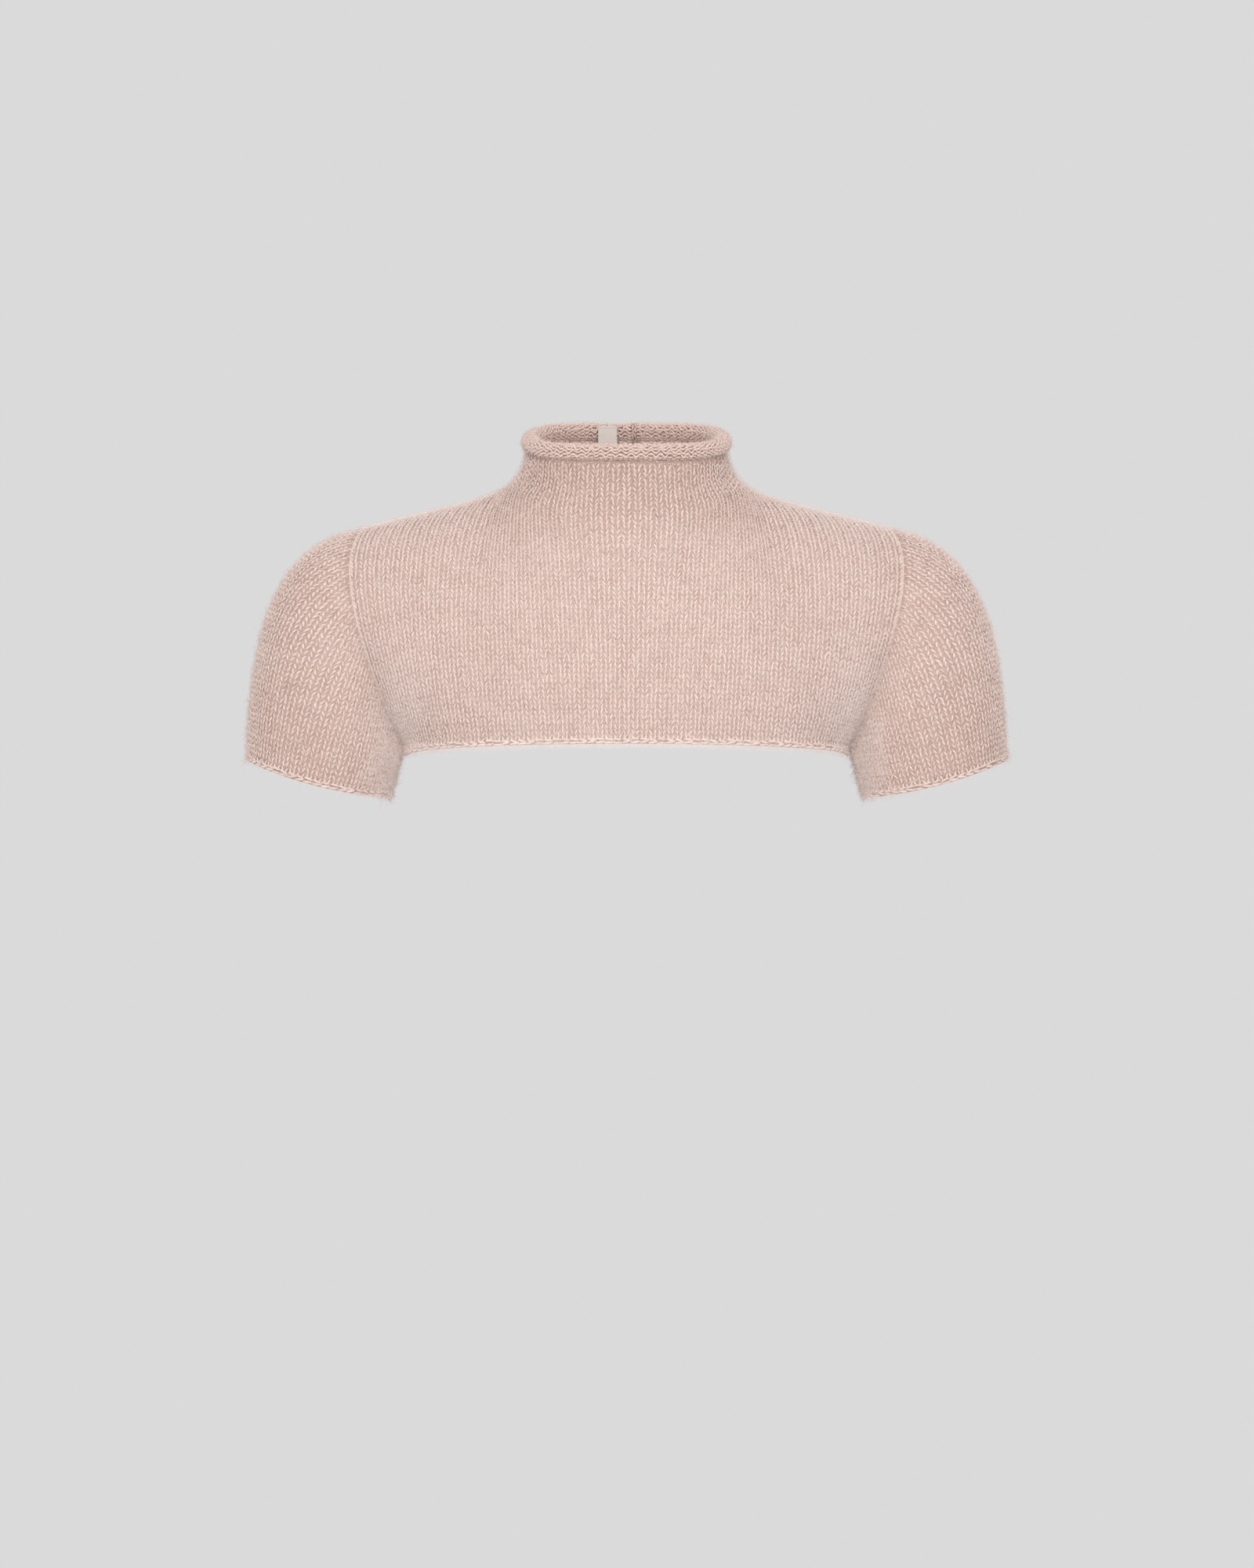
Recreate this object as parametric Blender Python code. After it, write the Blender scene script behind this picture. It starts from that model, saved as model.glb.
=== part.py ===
"""Short knitted top with a rolled neck and short sleeves, in its worn, filled-out shape.

Front and back panels run from the hem over the chest to the shoulder seams and on up the neck.
Two sleeves are set into the armholes, a rolled edge tops the neck, and a slit opens the centre
back under one button.  Sizes are in millimetres and become metres when a mesh is written.

Frame: +X towards the wearer's left, -Y to the front, +Z up.  The origin is on the centre plane,
level with the base of the neck.  Depth is the distance from the plane y = 0, forward on the
front panel and backward on the back panel.
"""
import math

import bmesh
import bpy
import numpy as np

METRES = 0.001

# Cloth
WALL = 2.4
SEAM_GAP = 0.3
SLEEVE_GAP = 0.39
EDGE_HEIGHT = 4.0
EDGE_RAISE = 0.8

# Columns of a panel: 0 at the centre line, 1 at the armhole seam, SIDE at the side seam
NECK_SHARE = 0.53
SIDE = 1.07
EVEN_SPACING = 0.83

# Hem and side seam
HEM_HALF_WIDTH = 152.5
HEM_BAND = 7.0
SIDE_SEAM_TOP_Z = -165.0

# Chest, as the second row of control points of every column
CHEST_HALF_WIDTH = 173.0
CHEST_EDGE_DEPTH = 50.0
CHEST_EDGE_Z = -125.0
CHEST_WRAP = math.radians(72.0)

# Shoulder line, from the foot of the neck out to the shoulder point
NECK_FOOT_X = 80.0
SHOULDER_X = 181.4
SHOULDER_Z = -19.3
SHOULDER_SLOPE = 0.24
NECK_FOOT_RISE = 6.0
NECK_FOOT_FADE = 11.1

# Yoke, as the third row of control points, just before the shoulder line
YOKE_HALF_WIDTH = 200.0
YOKE_EDGE_DEPTH = 66.0
YOKE_FOOT_Z = -13.0
YOKE_EDGE_Z = -45.0
YOKE_ROUNDING = 2.5

# Neck column and its rolled edge
NECK_START = 0.28
COLLAR_SQUARENESS = 0.022
COLLAR_RIM_SQUARENESS = 0.08
COLLAR_HALF_WIDTH = 68.0
COLLAR_HALF_DEPTH = 57.5
COLLAR_UPRIGHT = 8.0
COLLAR_DRAW_IN = 1.5
ROLL_HALF_WIDTH = 65.4
ROLL_HALF_DEPTH = 55.0
ROLL_MID_Z = 40.6
ROLL_TILT_RISE = 11.0
ROLL_RADIUS = 6.1
ROLL_SEAT = 0.35
ROLL_POINTS = 57

# Columns of the panel table: side of the plane y = 0, then depth and height of the centre line
# at the top of the hem band, at the chest, at the yoke and at the foot of the neck
PANELS = {
    "front": {
        "way": -1.0,
        "hem": (108.0, -159.0),
        "chest": (114.0, -112.0),
        "yoke": (86.0, -62.0),
        "neck": (70.0, -15.0),
    },
    "back": {
        "way": 1.0,
        "hem": (105.0, -155.5),
        "chest": (113.0, -112.0),
        "yoke": (88.0, -32.0),
        "neck": (66.0, 8.0),
    },
}

# Slit down the centre back, as columns of the back panel and the row where it ends
SLIT_LEFT_X = 3.9
SLIT_RIGHT_X = 6.9
SLIT_FOOT_ROW = 0.74

# Sleeve: cuff ring and the leads at both ends, for the top, front and underarm of the arm
CUFF_CENTRE = (211.0, 0.0, -189.0)
CUFF_HALF_WIDTH = 50.8
CUFF_HALF_DEPTH = 46.0
CUFF_DROOP = 4.2
ARM_LEAN = math.radians(14.9)
CUFF_BAND = 5.0
CAP_LEAD = {
    "top": (56.6, -7.7),
    "side": (14.0, -36.0),
    "underarm": (4.0, -5.0),
}
CAP_FULLNESS = 10.0
CUFF_LEAD = {
    "top": (2.5, -84.0),
    "side": (9.0, -38.0),
    "underarm": (2.5, -9.0),
}

# Mesh steps
NECK_STEPS = 16
SHOULDER_STEPS = 8
BAND_SIDE_STEPS = 2
CHEST_ROWS = 15
NECK_ROWS = 5
SLEEVE_ROWS = 11

# Label inside the back neck, left of the slit
LABEL_X = (-19.6, -6.5)
LABEL_TOP_Z = 55.2
LABEL_LENGTH = 32.0
LABEL_THICK = 0.8
LABEL_STEPS = 6

# Button and loop that close the slit under the roll
BUTTON_RADIUS = 5.2
BUTTON_THICK = 2.6
SHANK_RADIUS = 1.5
SHANK_LENGTH = 2.3
BUTTON_X = -2.0
BUTTON_Z = 36.5
BUTTON_SIDES = 20
BUTTON_LIP = 0.7
BUTTON_BEVEL = 0.5
BUTTON_FACE_SHARE = 0.55
LOOP_RADIUS = 0.8
LOOP_TURN = 2.7
LOOP_END_X = 10.5
LOOP_BEND_POINTS = 13
LOOP_RUN_POINTS = 4

# Search grid over the back of the neck, for what is seated on it
SEAT_STEPS = 97
SEAT_REACH = 0.12
SEAT_MARGIN = 0.02

COLOURS = {
    "front": (0.70, 0.50, 0.43),
    "back": (0.67, 0.47, 0.41),
    "sleeve": (0.69, 0.51, 0.44),
    "roll": (0.66, 0.48, 0.42),
    "label": (0.72, 0.67, 0.60),
    "button": (0.74, 0.60, 0.54),
    "loop": (0.64, 0.44, 0.38),
}

TINY = 1e-9


def bezier(start, second, third, end, t):
    """Cubic curve through start and end, leaving and arriving along its two inner points."""
    rest = 1.0 - t
    return (rest ** 3 * start + 3 * rest ** 2 * t * second
            + 3 * rest * t ** 2 * third + t ** 3 * end)


def section(u, half, centre, edge, wrap):
    """Row of a panel as part of an ellipse: sine of the wrapped angle across, cosine in depth."""
    angle = wrap * (EVEN_SPACING * u + (1 - EVEN_SPACING) * u ** 3)
    bow = (np.cos(angle) - math.cos(wrap)) / (1 - math.cos(wrap))
    x = half * np.sin(angle) / math.sin(wrap)
    depth = edge[0] + (centre[0] - edge[0]) * bow
    z = edge[1] + (centre[1] - edge[1]) * bow
    return np.stack([x, depth, z], axis=-1)


def shoulder_height(x):
    """Shoulder line: an even slope, lifted by a fading rise at the foot of the neck."""
    slope = SHOULDER_Z + SHOULDER_SLOPE * (SHOULDER_X - x)
    return slope + NECK_FOOT_RISE * np.exp((NECK_FOOT_X - x) / NECK_FOOT_FADE)


def upper_rows(panel, u):
    """Yoke row, foot of the neck or shoulder line, and the way each column starts up the neck.

    The start follows the yoke's tangent, pulled along the foot of the neck so that it lies in
    the plane y = 0 where front and back meet.
    """
    side = np.sign(u)
    across = np.abs(u)
    on_neck = across < NECK_SHARE
    turn = 0.5 * math.pi * np.minimum(across / NECK_SHARE, 1.0)
    out = np.clip((across - NECK_SHARE) / (1 - NECK_SHARE), 0.0, None)
    foot_z = shoulder_height(NECK_FOOT_X)
    dip = foot_z - panel["neck"][1]
    x = np.where(on_neck, NECK_FOOT_X * np.sin(turn),
                 NECK_FOOT_X + (SHOULDER_X - NECK_FOOT_X) * out)
    depth = np.where(on_neck, panel["neck"][0] * np.cos(turn), 0.0)
    z = np.where(on_neck, foot_z - dip * np.cos(turn) ** 2, shoulder_height(x))
    top = np.stack([side * x, np.maximum(depth, 0.5 * SEAM_GAP), z], axis=-1)
    rise = np.sin(turn) ** 2
    yoke_depth, yoke_z = panel["yoke"]
    yoke = np.stack([
        YOKE_HALF_WIDTH * u,
        yoke_depth + (YOKE_EDGE_DEPTH - yoke_depth) * across ** YOKE_ROUNDING,
        yoke_z + (YOKE_FOOT_Z - yoke_z) * rise + (YOKE_EDGE_Z - YOKE_FOOT_Z) * out ** 2,
    ], axis=-1)
    ring = np.stack([side * NECK_FOOT_X * np.cos(turn), -panel["neck"][0] * np.sin(turn),
                     dip * np.sin(2 * turn)], axis=-1)
    start = NECK_START * (top - yoke)
    pull = (NECK_START * yoke[..., 1] / panel["neck"][0] * rise)[..., None]
    return yoke, top, start - pull * ring


def squared_ring(turn, squareness=COLLAR_SQUARENESS):
    """Ring of half size 1 with fuller corners: first and third harmonics, across and deep."""
    across = np.sin(turn) + squareness * np.sin(3 * turn)
    deep = np.cos(turn) - squareness * np.cos(3 * turn)
    return across / (1 - squareness), deep / (1 - squareness)


def ring_turn(across):
    """Angle from the middle of the ring at which it has gone this share of its half width."""
    turn = np.linspace(-0.5 * math.pi, 0.5 * math.pi, 721)
    return float(np.interp(across, squared_ring(turn)[0], turn))


def roll_height(turn):
    """Height of the roll's centre line, from the middle back round to the lower front."""
    return ROLL_MID_Z + ROLL_TILT_RISE * squared_ring(turn, COLLAR_RIM_SQUARENESS)[1]


def panel_surface(panel, u, v):
    """Outer surface: rows below 0 are the hem band, 0 to 1 the chest, 1 to 2 the neck."""
    u, v = np.broadcast_arrays(np.asarray(u, float), np.asarray(v, float))
    hem_wrap = 0.5 * math.pi / (EVEN_SPACING * SIDE + (1 - EVEN_SPACING) * SIDE ** 3)
    hem_depth = panel["hem"][0]
    hem_edge = (hem_depth * math.cos(hem_wrap), SIDE_SEAM_TOP_Z)
    hem = section(u, HEM_HALF_WIDTH * math.sin(hem_wrap), panel["hem"], hem_edge, hem_wrap)
    chest = section(u, CHEST_HALF_WIDTH, panel["chest"],
                    (CHEST_EDGE_DEPTH, CHEST_EDGE_Z), CHEST_WRAP)
    yoke, top, start = upper_rows(panel, u)
    turn = 0.5 * math.pi * np.clip(u / NECK_SHARE, -1.0, 1.0)
    across, deep = squared_ring(turn)
    rim_turn = turn if panel["way"] > 0 else math.pi - turn
    rim_z = roll_height(rim_turn) - ROLL_RADIUS - ROLL_SEAT
    collar = np.stack([COLLAR_HALF_WIDTH * across, COLLAR_HALF_DEPTH * deep, rim_z], axis=-1)
    upright = np.array([COLLAR_DRAW_IN, COLLAR_DRAW_IN, -COLLAR_UPRIGHT])
    spread = np.stack([np.sin(turn), np.cos(turn), np.ones_like(turn)], axis=-1)
    lower = bezier(hem, chest, yoke, top, np.clip(v, 0, 1)[..., None])
    neck = bezier(top, top + start, collar + upright * spread, collar,
                  np.clip(v - 1, 0, 1)[..., None])
    points = np.where((v > 1)[..., None], neck, lower)
    points[..., 2] += HEM_BAND * np.minimum(v, 0.0)
    points[..., 1] = np.maximum(points[..., 1], 0.5 * SEAM_GAP)
    points[..., 1] *= panel["way"]
    return points


def corner_normals(points, keep, wrap):
    """Average of the normals of the kept cells around each grid point."""
    nxt = np.roll(points, -1, axis=1) if wrap else points[:, 1:]
    cur = points if wrap else points[:, :-1]
    face = np.cross(nxt[1:] - cur[:-1], cur[1:] - nxt[:-1])
    face = np.where(keep[..., None], face, 0.0)
    total = np.zeros_like(points)
    columns = np.arange(face.shape[1])
    for row in (0, 1):
        for column in (0, 1):
            target = (columns + column) % points.shape[1]
            np.add.at(total[row:row + face.shape[0]], (slice(None), target), face)
    length = np.linalg.norm(total, axis=-1, keepdims=True)
    return total / np.maximum(length, TINY)


def wall_faces(rows, columns, keep, wrap):
    """Outer and inner skins of the kept cells, and the rim where a cell has no neighbour."""
    outer = np.arange(rows * columns).reshape(rows, columns)
    inner = outer + rows * columns
    right = np.roll(outer, -1, axis=1) if wrap else outer[:, 1:]
    left = outer if wrap else outer[:, :-1]
    cells = np.stack([left[:-1], right[:-1], right[1:], left[1:]], axis=-1)
    offset = rows * columns
    faces = [cells[keep], cells[keep][:, ::-1] + offset]
    padded = np.pad(keep, 1)
    if wrap:
        padded[:, 0] = padded[:, -2]
        padded[:, -1] = padded[:, 1]
    open_sides = (~padded[:-2, 1:-1], ~padded[1:-1, 2:], ~padded[2:, 1:-1], ~padded[1:-1, :-2])
    for corner, missing in enumerate(open_sides):
        edge = cells[keep & missing]
        first = edge[:, corner]
        second = edge[:, (corner + 1) % 4]
        faces.append(np.stack([second, first, first + offset, second + offset], axis=-1))
    return np.concatenate(faces)


def add_object(name, mesh, colour, roughness):
    """Put a mesh in the scene under its own name with its own material."""
    material = bpy.data.materials.new(name)
    material.use_nodes = True
    shader = material.node_tree.nodes["Principled BSDF"]
    shader.inputs["Base Color"].default_value = (*colour, 1.0)
    shader.inputs["Roughness"].default_value = roughness
    shader.inputs["Metallic"].default_value = 0.0
    mesh.materials.append(material)
    piece = bpy.data.objects.new(name, mesh)
    bpy.context.collection.objects.link(piece)
    return piece


def add_mesh(name, points, faces, colour, roughness=0.9):
    """Mesh in metres with unused points dropped and its faces pointing out."""
    mesh = bpy.data.meshes.new(name)
    mesh.from_pydata((points * METRES).tolist(), [], faces.tolist())
    form = bmesh.new()
    form.from_mesh(mesh)
    loose = [vert for vert in form.verts if not vert.link_faces]
    bmesh.ops.delete(form, geom=loose, context="VERTS")
    bmesh.ops.recalc_face_normals(form, faces=form.faces)
    form.to_mesh(mesh)
    form.free()
    mesh.shade_smooth()
    mesh.set_sharp_from_angle(angle=math.radians(50))
    return add_object(name, mesh, colour, roughness)


def add_wall(name, points, keep, raised, wrap, colour):
    """Cloth wall: the outer grid, raised along its edge rows, and the same grid moved in."""
    normals = corner_normals(points, keep, wrap)
    on_seam = np.abs(points[..., 1]) < 0.51 * SEAM_GAP
    if not wrap:
        normals[on_seam, 1] = 0.0
    normals /= np.maximum(np.linalg.norm(normals, axis=-1, keepdims=True), TINY)
    outer = points + raised[:, None, None] * normals
    inner = points - WALL * normals
    both = np.concatenate([outer.reshape(-1, 3), inner.reshape(-1, 3)])
    faces = wall_faces(points.shape[0], points.shape[1], keep, wrap)
    return add_mesh(name, both, faces, colour)


def edge_rows(height):
    """Rows of a band with a raised cast-off edge, counted from -1 at its edge up to 0."""
    top_of_edge = -1.0 + EDGE_HEIGHT / height
    return [-1.0, top_of_edge - 0.1, top_of_edge, 0.0], [EDGE_RAISE, EDGE_RAISE, 0.0, 0.0]


def panel_columns(slit):
    """Columns of a panel from side seam to side seam, with the slit's two edges on the back."""
    outside = np.linspace(NECK_SHARE, 1.0, SHOULDER_STEPS + 1)[1:]
    band = np.linspace(1.0, SIDE, BAND_SIDE_STEPS + 1)[1:]
    if slit:
        half = NECK_STEPS // 2
        left = np.linspace(-NECK_SHARE, slit[0], half + 1)
        right = np.linspace(slit[1], NECK_SHARE, half + 1)
        middle = np.concatenate([left, right])
    else:
        middle = np.linspace(-NECK_SHARE, NECK_SHARE, NECK_STEPS + 1)
    return np.concatenate([-band[::-1], -outside[::-1], middle, outside, band])


def make_panel(name, colour, slit=None):
    """Front or back: hem band, chest and neck as one wall with its armholes left out."""
    panel = PANELS[name]
    columns = panel_columns(slit)
    band_rows, band_raise = edge_rows(HEM_BAND)
    chest_rows = np.linspace(0, 1, CHEST_ROWS + 1)
    if slit:
        nearest = np.argmin(np.abs(chest_rows - SLIT_FOOT_ROW))
        chest_rows[nearest] = SLIT_FOOT_ROW
    neck_rows = np.linspace(1, 2, NECK_ROWS + 1)
    rows = np.concatenate([band_rows, chest_rows[1:], neck_rows[1:]])
    raised = np.concatenate([band_raise, np.zeros(len(rows) - len(band_raise))])
    points = panel_surface(panel, columns[None, :], rows[:, None])
    middle_u = np.abs(0.5 * (columns[1:] + columns[:-1]))[None, :]
    middle_v = (0.5 * (rows[1:] + rows[:-1]))[:, None]
    keep = (middle_v < 0) | ((middle_u < 1) & (middle_v < 1)) | (middle_u < NECK_SHARE)
    if slit:
        between = 0.5 * (columns[1:] + columns[:-1])[None, :]
        keep &= ~((between > slit[0]) & (between < slit[1]) & (middle_v > SLIT_FOOT_ROW))
    if panel["way"] > 0:
        points = points[:, ::-1]
        keep = keep[:, ::-1]
    return add_wall(name, points, keep, raised, False, colour)


def armhole_loop():
    """Armhole seam on the wearer's left: shoulder, front, underarm, back, and round again."""
    chest_rows = np.linspace(1, 0, CHEST_ROWS + 1)
    band = np.linspace(1.0, SIDE, BAND_SIDE_STEPS + 1)[1:]
    halves = {}
    for name, panel in PANELS.items():
        edge = panel_surface(panel, np.ones_like(chest_rows), chest_rows)
        under = panel_surface(panel, band, np.zeros_like(band))
        half = np.concatenate([edge, under])
        half[0, 1] = 0.0
        half[-1, 1] = 0.0
        halves[name] = half
    return np.concatenate([halves["front"], halves["back"][-2:0:-1]])


def around_arm(values, angle):
    """Blend of three (x, z) pairs round the arm: top at 0, side at 90, underarm at 180 degrees."""
    top, side, under = (np.array(values[key]) for key in ("top", "side", "underarm"))
    swing = 0.5 * (top - under)
    mean = 0.5 * (top + under)
    level = 0.5 * (mean + side)
    double = 0.5 * (mean - side)
    cosine = np.cos(angle)[:, None]
    return level + swing * cosine + double * np.cos(2 * angle)[:, None]


def sleeve_surface(rows):
    """Sleeve from the armhole seam to its cuff, with rows below 0 for the cuff band."""
    loop = armhole_loop()
    following = np.roll(loop, -1, axis=0)
    steps = np.linalg.norm(following - loop, axis=1)
    angle = 2 * math.pi * np.concatenate([[0], np.cumsum(steps)[:-1]]) / steps.sum()
    cap = around_arm(CAP_LEAD, angle)
    cap_lead = np.stack([cap[:, 0], -CAP_FULLNESS * np.sin(angle), cap[:, 1]], axis=-1)
    low = around_arm(CUFF_LEAD, angle)
    cuff_lead = np.stack([low[:, 0], np.zeros_like(angle), low[:, 1]], axis=-1)
    axis = np.array([math.sin(ARM_LEAN), 0.0, -math.cos(ARM_LEAN)])
    outward = np.array([math.cos(ARM_LEAN), 0.0, math.sin(ARM_LEAN)])
    forward = np.array([0.0, -1.0, 0.0])
    cuff = (np.array(CUFF_CENTRE) + CUFF_HALF_WIDTH * np.cos(angle)[:, None] * outward
            + CUFF_HALF_DEPTH * np.sin(angle)[:, None] * forward
            + CUFF_DROOP * np.sin(angle)[:, None] ** 2 * axis)
    band_top = cuff - CUFF_BAND * axis
    along = following - np.roll(loop, 1, axis=0)
    along /= np.linalg.norm(along, axis=1, keepdims=True)
    away = cap_lead - np.sum(cap_lead * along, axis=1, keepdims=True) * along
    away /= np.linalg.norm(away, axis=1, keepdims=True)
    seam = loop + SLEEVE_GAP * away
    t = np.clip(1 - rows, 0, 1)[:, None, None]
    body = bezier(seam, seam + cap_lead, band_top - cuff_lead, band_top, t)
    return body - CUFF_BAND * np.minimum(rows, 0)[:, None, None] * axis


def make_sleeve(name, side, colour):
    """Sleeve tube as a wall; side is 1 for the wearer's left and -1 for the right."""
    band_rows, band_raise = edge_rows(CUFF_BAND)
    body_rows = np.linspace(0, 1, SLEEVE_ROWS + 1)[1:]
    rows = np.concatenate([band_rows, body_rows])
    raised = np.concatenate([band_raise, np.zeros(len(body_rows))])
    points = sleeve_surface(rows)
    if side < 0:
        points = points[:, ::-1] * np.array([-1.0, 1.0, 1.0])
    keep = np.ones((len(rows) - 1, points.shape[1]), bool)
    points = points[:, ::-1]
    return add_wall(name, points, keep, raised, True, colour)


def add_tube(name, points, radius, sides_level, colour):
    """Round tube with closed ends along a row of points."""
    curve = bpy.data.curves.new(name, "CURVE")
    curve.dimensions = "3D"
    curve.bevel_depth = radius * METRES
    curve.bevel_resolution = sides_level
    curve.use_fill_caps = True
    spline = curve.splines.new("POLY")
    spline.points.add(len(points) - 1)
    places = np.concatenate([points * METRES, np.ones((len(points), 1))], axis=1)
    spline.points.foreach_set("co", places.ravel())
    return add_object(name, curve, colour, 0.9)


def make_roll(colour):
    """Rolled edge round the top of the neck, broken at the slit in the centre back."""
    first = ring_turn(SLIT_RIGHT_X / ROLL_HALF_WIDTH)
    last = 2 * math.pi + ring_turn(SLIT_LEFT_X / ROLL_HALF_WIDTH)
    turn = np.linspace(first, last, ROLL_POINTS)
    across, deep = squared_ring(turn)
    points = np.stack([ROLL_HALF_WIDTH * across, ROLL_HALF_DEPTH * deep,
                       roll_height(turn)], axis=-1)
    return add_tube("neck_roll", points, ROLL_RADIUS, 3, colour)


def make_label(colour):
    """Bare cloth label hung from the inside of the roll, bent to the curve of the neck."""
    ends = [ring_turn(x / (ROLL_HALF_WIDTH - ROLL_RADIUS)) for x in LABEL_X]
    across, deep = squared_ring(np.linspace(*ends, LABEL_STEPS + 1))
    x = (ROLL_HALF_WIDTH - ROLL_RADIUS) * across
    y = (ROLL_HALF_DEPTH - ROLL_RADIUS) * deep - SEAM_GAP
    heights = np.array([LABEL_TOP_Z - LABEL_LENGTH, LABEL_TOP_Z])
    face = np.stack(np.broadcast_arrays(x[None, :], y[None, :], heights[:, None]), axis=-1)
    behind = face - np.array([0.0, LABEL_THICK, 0.0])
    both = np.concatenate([face.reshape(-1, 3), behind.reshape(-1, 3)])
    keep = np.ones((1, LABEL_STEPS), bool)
    return add_mesh("label", both, wall_faces(2, LABEL_STEPS + 1, keep, False), colour, 0.7)


def neck_seat(x, z):
    """Point, outward and upward directions on the back of the neck, at a place seen flat on."""
    u, v = np.meshgrid(np.linspace(-SEAT_REACH, SEAT_REACH, SEAT_STEPS),
                       np.linspace(1 + SEAT_MARGIN, 2 - SEAT_MARGIN, SEAT_STEPS))
    points = panel_surface(PANELS["back"], u, v)
    miss = (points[..., 0] - x) ** 2 + (points[..., 2] - z) ** 2
    row, column = np.unravel_index(np.argmin(miss), miss.shape)
    row = min(max(row, 1), SEAT_STEPS - 2)
    along = points[row + 1, column] - points[row - 1, column]
    along /= np.linalg.norm(along)
    across = points[row, column + 1] - points[row, column - 1]
    out = np.cross(along, across)
    out /= np.linalg.norm(out)
    return points[row, column], out * np.sign(out[1]), along


def make_button(colour):
    """Domed button on a short shank, turned from its half section."""
    seat, out, along = neck_seat(BUTTON_X, BUTTON_Z)
    across = np.cross(along, out)
    base = SEAM_GAP
    disc = base + SHANK_LENGTH
    face = disc + BUTTON_THICK
    profile = [(SHANK_RADIUS, base), (SHANK_RADIUS, disc), (BUTTON_RADIUS - BUTTON_LIP, disc),
               (BUTTON_RADIUS, disc + BUTTON_LIP), (BUTTON_RADIUS - BUTTON_BEVEL, face - BUTTON_BEVEL),
               (BUTTON_RADIUS * BUTTON_FACE_SHARE, face)]
    angle = np.linspace(0, 2 * math.pi, BUTTON_SIDES, endpoint=False)
    rings = [seat + height * out + radius * (np.cos(angle)[:, None] * across
                                             + np.sin(angle)[:, None] * along)
             for radius, height in profile]
    points = np.concatenate(rings)
    count = BUTTON_SIDES
    index = np.arange(count)
    nxt = (index + 1) % count
    faces = []
    for ring in range(len(profile) - 1):
        low = ring * count
        high = low + count
        faces += np.stack([low + index, low + nxt, high + nxt, high + index], axis=-1).tolist()
    faces.append(index[::-1].tolist())
    faces.append(((len(profile) - 1) * count + index).tolist())
    mesh = bpy.data.meshes.new("button")
    mesh.from_pydata((points * METRES).tolist(), [], faces)
    form = bmesh.new()
    form.from_mesh(mesh)
    bmesh.ops.recalc_face_normals(form, faces=form.faces)
    form.to_mesh(mesh)
    form.free()
    mesh.shade_smooth()
    mesh.set_sharp_from_angle(angle=math.radians(40))
    return add_object("button", mesh, colour, 0.35)


def make_loop(colour):
    """Yarn loop from the right edge of the slit round the button's shank and back."""
    seat, out, along = neck_seat(BUTTON_X, BUTTON_Z)
    lift = SEAM_GAP + LOOP_RADIUS
    angle = np.linspace(0.5 * math.pi, 1.5 * math.pi, LOOP_BEND_POINTS)
    bend = np.stack([LOOP_TURN * np.cos(angle), LOOP_TURN * np.sin(angle)], axis=-1)
    reach = np.linspace(LOOP_END_X - BUTTON_X, 0, LOOP_RUN_POINTS + 1)[:-1]
    upper = np.stack([reach, np.full_like(reach, LOOP_TURN)], axis=-1)
    lower = np.stack([reach[::-1], np.full_like(reach, -LOOP_TURN)], axis=-1)
    flat = np.concatenate([upper, bend, lower])
    points = []
    for across_mm, along_mm in flat:
        place, place_out, _ = neck_seat(BUTTON_X + across_mm, seat[2] + along_mm * along[2])
        points.append(place + lift * place_out)
    return add_tube("button_loop", np.array(points), LOOP_RADIUS, 1, colour)


def slit_columns():
    """The two columns of the back panel that run along the edges of the slit."""
    share = NECK_SHARE / (0.5 * math.pi)
    return tuple(share * ring_turn(x / COLLAR_HALF_WIDTH) for x in (SLIT_LEFT_X, SLIT_RIGHT_X))


def main():
    """Clear the scene and make every piece of the top."""
    for old in list(bpy.data.objects):
        bpy.data.objects.remove(old, do_unlink=True)
    make_panel("front", COLOURS["front"])
    make_panel("back", COLOURS["back"], slit_columns())
    make_sleeve("sleeve_left", 1, COLOURS["sleeve"])
    make_sleeve("sleeve_right", -1, COLOURS["sleeve"])
    make_roll(COLOURS["roll"])
    make_label(COLOURS["label"])
    make_button(COLOURS["button"])
    make_loop(COLOURS["loop"])


main()
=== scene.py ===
"""Looks of a short knitted top with a rolled neck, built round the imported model.

Every panel, sleeve and the rolled edge is a thin shell on its solid's form.  Knit stitches,
purl rows, cast-off chains, seam yarn and mohair hair lie over the shells.  They are placed on
charts that count wales across and rows up.  Sizes are in millimetres until a mesh is written.
"""

import math

import bpy
import numpy as np
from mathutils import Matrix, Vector


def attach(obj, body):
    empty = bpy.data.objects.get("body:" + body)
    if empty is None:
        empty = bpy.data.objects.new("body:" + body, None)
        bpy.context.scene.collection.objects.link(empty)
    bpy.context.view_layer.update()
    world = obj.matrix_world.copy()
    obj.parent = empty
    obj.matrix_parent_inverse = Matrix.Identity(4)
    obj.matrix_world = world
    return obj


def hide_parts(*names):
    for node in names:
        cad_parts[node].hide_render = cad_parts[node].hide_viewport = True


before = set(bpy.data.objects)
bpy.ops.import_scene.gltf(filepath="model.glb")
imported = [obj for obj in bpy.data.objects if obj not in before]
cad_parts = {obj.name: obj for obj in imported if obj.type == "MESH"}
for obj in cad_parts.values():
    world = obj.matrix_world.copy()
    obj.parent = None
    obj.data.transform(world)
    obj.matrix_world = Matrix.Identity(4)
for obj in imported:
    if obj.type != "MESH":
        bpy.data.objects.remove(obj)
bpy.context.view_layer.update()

METRES = 0.001
TINY = 1e-9
SEED = 11
SEAM_GAP = 0.3
SLEEVE_GAP = 0.39

# Columns of a panel: 0 at the centre line, 1 at the armhole seam, SIDE at the side seam
NECK_SHARE = 0.53
SIDE = 1.07
EVEN_SPACING = 0.83

# Hem and side seam
HEM_HALF_WIDTH = 152.5
HEM_BAND = 7.0
SIDE_SEAM_TOP_Z = -165.0

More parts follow.
